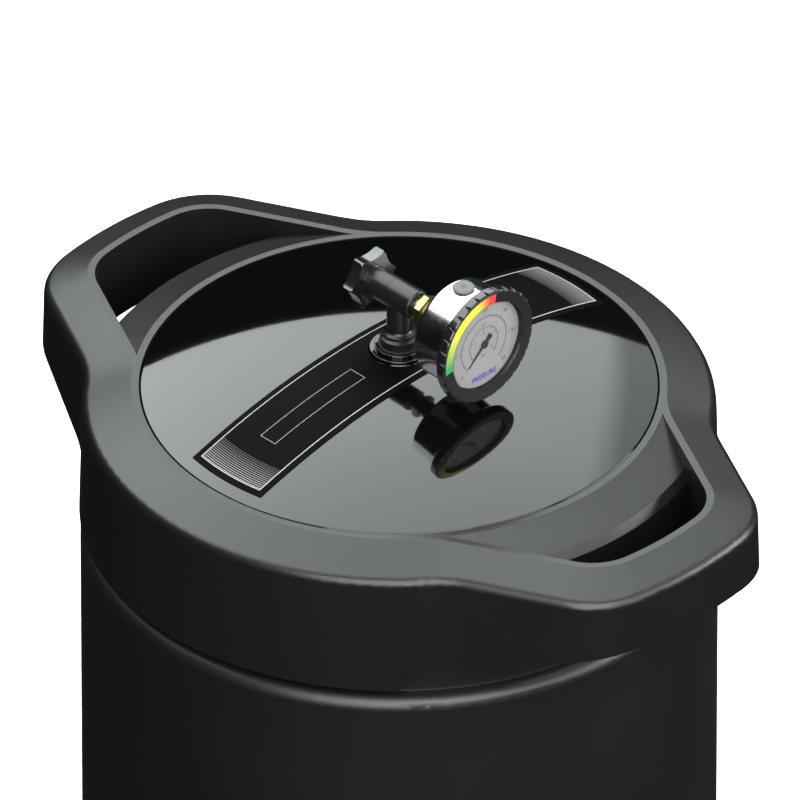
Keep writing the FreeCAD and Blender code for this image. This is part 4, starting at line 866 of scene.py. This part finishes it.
class FILTER_OT_label(bpy.types.Operator):
    """Makes the printed strip that follows the dome"""
    bl_idname = "filter.label"
    bl_label = "Label strip"

    def execute(self, context):
        size = sizes()
        hole, lift = 15.6 * MM, 0.03 * MM
        under = [(radius, dome_height(radius) + lift)
                 for radius in spaced(hole, size.label_reach, 60)]
        over = [(radius, height + size.label_thickness) for radius, height in reversed(under)]
        sheet = turned("label_strip", under + over + [under[0]])
        pick(sheet)
        bpy.ops.object.mode_set(mode="EDIT")
        half = size.label_width / 2
        for side in (1, -1):
            bpy.ops.mesh.select_all(action="SELECT")
            bpy.ops.mesh.bisect(plane_co=(half * side, 0, LAND), plane_no=(side, 0, 0),
                                use_fill=True, clear_outer=True)
        bpy.ops.object.mode_set(mode="OBJECT")
        smooth(sheet)
        seat(sheet, "lid", "label_film", "lid_label")
        return {"FINISHED"}


def coil(name, radius, rise, start, pitch, turns):
    """A low screw thread about Z: a triangle wound up round a cylinder, closed at both ends."""
    piece = start_point(name)
    root = radius - 0.1 * MM  # sunk, so that no gap shows under the thread
    draw_line([(root, 0, start), (radius + rise, 0, start + pitch * 0.3),
               (root, 0, start + pitch * 0.6), (root, 0, start)])
    merge_near()
    bpy.ops.object.mode_set(mode="OBJECT")
    wind = piece.modifiers.new("wind", "SCREW")
    wind.screw_offset = pitch
    wind.iterations = turns
    wind.steps = wind.render_steps = 96
    apply_modifier(piece, wind)
    bpy.ops.object.mode_set(mode="EDIT")
    bpy.ops.mesh.select_mode(type="EDGE")
    bpy.ops.mesh.select_all(action="DESELECT")
    bpy.ops.mesh.select_non_manifold()
    bpy.ops.mesh.fill_holes(sides=0)
    bpy.ops.mesh.select_mode(type="VERT")
    close_mesh()
    return smooth(piece, 50.0)


def stand_along(piece, axis, side, height):
    """Turns a piece that was made about Z to point along another axis, at a height."""
    pick(piece)
    quarter = math.pi / 2 * side
    piece.rotation_euler = (-quarter, 0, 0) if axis == "Y" else (0, quarter, 0)
    piece.location = (0, 0, height)
    bpy.ops.object.transform_apply(location=True, rotation=True, scale=True)


class FILTER_OT_tank(bpy.types.Operator):
    """Makes the tank, its stand and the threads of its ports"""
    bl_idname = "filter.tank"
    bl_label = "Tank and stand"

    # Radius, height, start, pitch and turns of the thread on a port
    PORT_THREAD = (34 * MM, 0.22 * MM, 173.5 * MM, 4.0 * MM, 3)

    def execute(self, context):
        refined("tank_shell", "tank", 0.6 * MM, 40.0)
        refined("base_stand", "tank", 0.6 * MM)
        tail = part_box("inlet_tail")
        for word, side in (("in", 1), ("out", -1)):
            port = coil("port_thread_" + word, *self.PORT_THREAD)
            stand_along(port, "Y", side, (tail[0].z + tail[1].z) / 2)
            seat(port, "tank", "tank_plastic")
        return {"FINISHED"}


class FILTER_OT_tee(bpy.types.Operator):
    """Makes the stem and tee, what holds them in the lid, the lid's seal and the bleed knob"""
    bl_idname = "filter.tee"
    bl_label = "Tee and bleed knob"

    def execute(self, context):
        for node, width in (("bleed_tee", 0.35), ("stem_seal", 0.15), ("stem_lock_nut", 0.4),
                            ("air_screen", 0.15), ("lid_seal", 0.2)):
            refined(node, "lid", width * MM)
        refined("bleed_pad", "bleed_pad", 0.3 * MM)
        knob = refined("bleed_knob", "bleed_knob", 0.35 * MM)
        dress(knob, bpy.data.materials["knob_plastic" + FINISH])
        return {"FINISHED"}


class FILTER_OT_gauge(bpy.types.Operator):
    """Makes the gauge's socket, case, works, plug, dial, pointer and window"""
    bl_idname = "filter.gauge"
    bl_label = "Pressure gauge"

    # Where both scales start, and how far they run to the outer one's last number
    SCALE_START, SCALE_SWEEP = math.radians(222), math.radians(270)
    # Ticks of the outer scale, and half units of the inner scale in the same sweep
    OUTER_TICKS, OUTER_TICKS_PER_NUMBER = 30, 5
    INNER_TICKS = 8.28
    # Angle, radius, height and weight of the blue word
    WORD = ("PRESSURE", math.radians(-90), 19.2 * MM, 3.9 * MM, 0.16 * MM)

    def execute(self, context):
        refined_all("lid", 0.2 * MM, "gauge_case", "gauge_window", "gauge_movement")
        refined_all("lid", 0.3 * MM, "gauge_socket", "gauge_plug")
        refined("bourdon_tube", "lid", 0.1 * MM, 50.0)
        refined("gauge_pointer", "pointer", 0.08 * MM)
        refined("dial", "lid", 0.1 * MM)
        self.print_dial()
        return {"FINISHED"}

    def print_dial(self):
        """Two scales with their ticks and numbers, in ink that stands a hair above the dial."""
        size = sizes()
        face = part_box("dial")[1].x
        start, sweep = self.SCALE_START, self.SCALE_SWEEP
        outer, inner = size.scale_radius, size.inner_scale_radius
        width, tick = size.ink_width, size.tick_length
        marks = [flat_arc("ink_arc", face, radius - width / 2, radius + width / 2,
                          size.ink_height, start, sweep, 90) for radius in (outer, inner)]
        for index in range(self.OUTER_TICKS + 1):
            turn = start - sweep * index / self.OUTER_TICKS
            reach = tick if index % self.OUTER_TICKS_PER_NUMBER == 0 else tick * 0.55
            marks.append(inked_bar(face, turn, outer, outer + reach, width))
        for index in range(int(self.INNER_TICKS) + 1):
            turn = start - sweep * index / self.INNER_TICKS
            reach = tick * (0.8 if index % 2 == 0 else 0.5)
            marks.append(inked_bar(face, turn, inner - reach, inner, width))
        top, bottom = math.radians(90), math.radians(-90)
        words = [(str(index * 10), start - sweep * index / 6, outer + 4.6 * MM, 3.0 * MM)
                 for index in range(7)]
        words += [(str(index), start - sweep * index * 2 / self.INNER_TICKS, inner - 3.2 * MM,
                   2.3 * MM) for index in range(5)]
        words += [("psi", top, outer - 3.4 * MM, 2.6 * MM),
                  ("bar", bottom, inner - 3.0 * MM, 2.3 * MM)]
        marks += [inked_words(face, *word) for word in words]
        printed = joined("dial_print", marks)
        recipe = Recipe("dial_ink", Base_Color=(0.03, 0.03, 0.035))
        recipe.set("Roughness", recipe.noise(300.0) * 0.2 + 0.35)
        self.seat_ink(printed, recipe.material)
        label = inked_words(face, *self.WORD)
        label.name = "dial_word"
        blue = Recipe("dial_blue", Base_Color=tuple(colours().dial_blue))
        blue.set("Roughness", blue.noise(300.0) * 0.2 + 0.35)
        self.seat_ink(label, blue.material)

    def seat_ink(self, piece, material):
        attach(piece, "lid")
        dress(piece, material)


def gauge_point(reach, turn, radius):
    """A place at a reach along the gauge's axis, at an angle from +Y towards +Z round it."""
    return GAUGE_CENTRE + Vector((reach, radius * math.cos(turn), radius * math.sin(turn)))


def face_and_thicken(thickness):
    """Fills the drawn outline and extrudes it along the gauge's axis into a closed plate."""
    merge_near()
    bpy.ops.mesh.edge_face_add()
    bpy.ops.mesh.extrude_region_move(TRANSFORM_OT_translate={"value": (thickness, 0, 0)})
    close_mesh()


def inked_bar(face, turn, inner, outer, width):
    """A short radial line of ink."""
    bar = start_point("ink_bar")
    across = Vector((0, -math.sin(turn), math.cos(turn))) * width / 2
    low = gauge_point(face, turn, inner)
    high = gauge_point(face, turn, outer)
    draw_line([low - across, high - across, high + across, low + across, low - across])
    face_and_thicken(sizes().ink_height)
    return bar


def flat_arc(name, face, inner, outer, thickness, start, sweep, steps):
    """A thin band that lies on a face of the gauge and runs clockwise from an angle."""
    arc = start_point(name)
    height = AXIS_X * thickness
    low, high = gauge_point(face, start, inner), gauge_point(face, start, outer)
    draw_line([low, high, high + height, low + height, low])
    merge_near()
    bpy.ops.mesh.edge_face_add()
    bpy.ops.mesh.spin(steps=steps, angle=sweep, center=GAUGE_CENTRE, axis=AXIS_X)
    close_mesh()
    return arc


def inked_words(face, words, turn, radius, height, weight=0.0):
    """Upright words centred on a place of the dial, as a mesh."""
    deselect()
    bpy.ops.object.text_add(location=gauge_point(face, turn, radius),
                            rotation=(math.pi / 2, 0, math.pi / 2))
    text = bpy.context.object
    text.data.body = words
    text.data.size = height
    text.data.align_x = "CENTER"
    text.data.align_y = "CENTER"
    text.data.extrude = sizes().ink_height
    text.data.resolution_u = 3
    text.data.offset = weight
    bpy.ops.object.convert(target="MESH")
    bpy.ops.object.transform_apply(location=True, rotation=True, scale=True)
    return bpy.context.object


def joined(name, pieces):
    """Joins pieces of one body and one finish into one."""
    deselect()
    for piece in pieces:
        piece.select_set(True)
    whole = pieces[0]
    bpy.context.view_layer.objects.active = whole
    bpy.ops.object.join()
    whole.name = name
    whole.data.name = name
    return whole


class FILTER_OT_marker(bpy.types.Operator):
    """Makes the notched marker ring and its colour band"""
    bl_idname = "filter.marker"
    bl_label = "Marker ring"

    def execute(self, context):
        refined("marker_ring", "marker", 0.2 * MM)
        self.make_band()
        return {"FINISHED"}

    def make_band(self):
        """A printed film on the ring's face, from the green end to the red one."""
        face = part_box("marker_ring")[1].x - 0.02 * MM
        inner, outer = 25.0 * MM, 29.9 * MM
        start, end = math.radians(186), math.radians(80)
        band = flat_arc("marker_band", face, inner, outer, 0.12 * MM, start, start - end, 48)
        smooth(band)
        recipe = Recipe("marker_band", Roughness=0.5, Specular_IOR_Level=0.2)
        y, z = recipe.parts(recipe.shifted(GAUGE_CENTRE))[1:]
        turn = recipe.node("ShaderNodeMath", {"operation": "ARCTAN2"}, z, y * -1.0)
        share = turn / math.radians(100)
        tints = colours()
        low = recipe.mix((share * 2.2).most(0.0).least(1.0), tuple(tints.marker_green),
                         tuple(tints.marker_yellow))
        high = recipe.mix(((share - 0.72) * 5.0).most(0.0).least(1.0), low,
                          tuple(tints.marker_red))
        recipe.set("Base Color", high)
        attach(band, "marker")
        dress(band, recipe.material)


class FILTER_OT_pipework(bpy.types.Operator):
    """Makes the unions, the pipes inside the tank and the drain"""
    bl_idname = "filter.pipework"
    bl_label = "Pipework and drain"

    # Radius, height, start, pitch and turns of the drain plug's thread
    DRAIN_THREAD = (14.7 * MM, 0.2 * MM, 161.5 * MM, 2.3 * MM, 4)

    def execute(self, context):
        for word in ("inlet", "outlet"):
            refined(word + "_tail", word + "_tail", 0.4 * MM)
            refined(word + "_tail_seal", word + "_tail", 0.1 * MM, 50.0)
            refined(word + "_union_nut", word + "_nut", 0.5 * MM)
        refined("outlet_elbow", "tank", 0.4 * MM, 40.0)
        refined_all("tank", 0.3 * MM, "inlet_diffuser", "outlet_wall_seal")
        refined("drain_seal", "drain_seal", 0.25 * MM)
        refined("drain_plug", "drain_plug", 0.5 * MM)
        low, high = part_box("drain_plug")
        shank = coil("drain_thread", *self.DRAIN_THREAD)
        stand_along(shank, "X", 1, (low.z + high.z) / 2)
        seat(shank, "drain_plug", "fitting_plastic")
        return {"FINISHED"}


class FILTER_OT_cartridge(bpy.types.Operator):
    """Makes the cartridge's pleats, caps, core, bands and seal"""
    bl_idname = "filter.cartridge"
    bl_label = "Cartridge"

    def execute(self, context):
        self.make_pleats()
        refined_all("cartridge", 1.0 * MM, "top_end_cap", "bottom_end_cap")
        refined_all("cartridge", 0.4 * MM, "cartridge_core", "pleat_bands", "cartridge_seal")
        return {"FINISHED"}

    def make_pleats(self):
        """One sheet folded in and out round the core, with round folds."""
        size = sizes()
        low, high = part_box("pleat_media")
        count = size.pleat_count
        sheet = size.sheet_thickness
        half = math.pi / count
        steps = 6
        crest_bend, valley_bend = 1.5 * MM, 0.9 * MM
        crest = high.x - crest_bend - sheet / 2
        valley = high.x - size.pleat_depth + valley_bend + sheet / 2
        line = []
        for turn, reach, bend, start, sweep in (
                (0, crest, crest_bend, -90, 180), (half, valley, valley_bend, -90, -180)):
            for step in range(steps + 1):
                around = turn + math.radians(start + sweep * step / steps)
                line.append((reach * math.cos(turn) + bend * math.cos(around),
                             reach * math.sin(turn) + bend * math.sin(around), low.z))
        first = line[0]
        line.append((first[0] * math.cos(half * 2) - first[1] * math.sin(half * 2),
                     first[0] * math.sin(half * 2) + first[1] * math.cos(half * 2), low.z))
        piece = start_point("pleats")
        draw_line(line)
        bpy.ops.mesh.select_all(action="SELECT")
        bpy.ops.mesh.spin(steps=count - 1, angle=2 * math.pi - half * 2, dupli=True,
                          center=(0, 0, 0), axis=AXIS_Z)
        merge_near(0.01 * MM)
        bpy.ops.mesh.extrude_edges_move(TRANSFORM_OT_translate={"value": (0, 0, high.z - low.z)})
        close_mesh()
        fold = piece.modifiers.new("sheet", "SOLIDIFY")
        fold.thickness = sheet
        fold.offset = 0.0
        smooth(apply_modifier(piece, fold), 50.0)
        seat(piece, "cartridge", "pleat_fabric", "pleat_media")


OPERATORS = [FILTER_OT_stage, FILTER_OT_finishes, FILTER_OT_lock_ring, FILTER_OT_lid,
             FILTER_OT_label, FILTER_OT_tank, FILTER_OT_tee, FILTER_OT_gauge, FILTER_OT_marker,
             FILTER_OT_pipework, FILTER_OT_cartridge]


class FILTER_PT_pieces(bpy.types.Panel):
    """Lists the pieces of the filter"""
    bl_label = "Cartridge filter"
    bl_idname = "FILTER_PT_pieces"
    bl_space_type = "VIEW_3D"
    bl_region_type = "UI"
    bl_category = "Cartridge filter"

    def draw(self, context):
        for operator in OPERATORS:
            self.layout.operator(operator.bl_idname)


SETTINGS = {"filter_studio": FilterStudio, "filter_sizes": FilterSizes,
            "filter_colours": FilterColours}


def register():
    for kind in list(SETTINGS.values()) + OPERATORS + [FILTER_PT_pieces]:
        bpy.utils.register_class(kind)
    for name, kind in SETTINGS.items():
        setattr(bpy.types.Scene, name, PointerProperty(type=kind))


def unregister():
    for name in SETTINGS:
        delattr(bpy.types.Scene, name)
    for kind in [FILTER_PT_pieces] + OPERATORS[::-1] + list(SETTINGS.values())[::-1]:
        bpy.utils.unregister_class(kind)


def main():
    register()
    for operator in OPERATORS:
        group, name = operator.bl_idname.split(".")
        getattr(getattr(bpy.ops, group), name)()


if __name__ == "__main__":
    main()
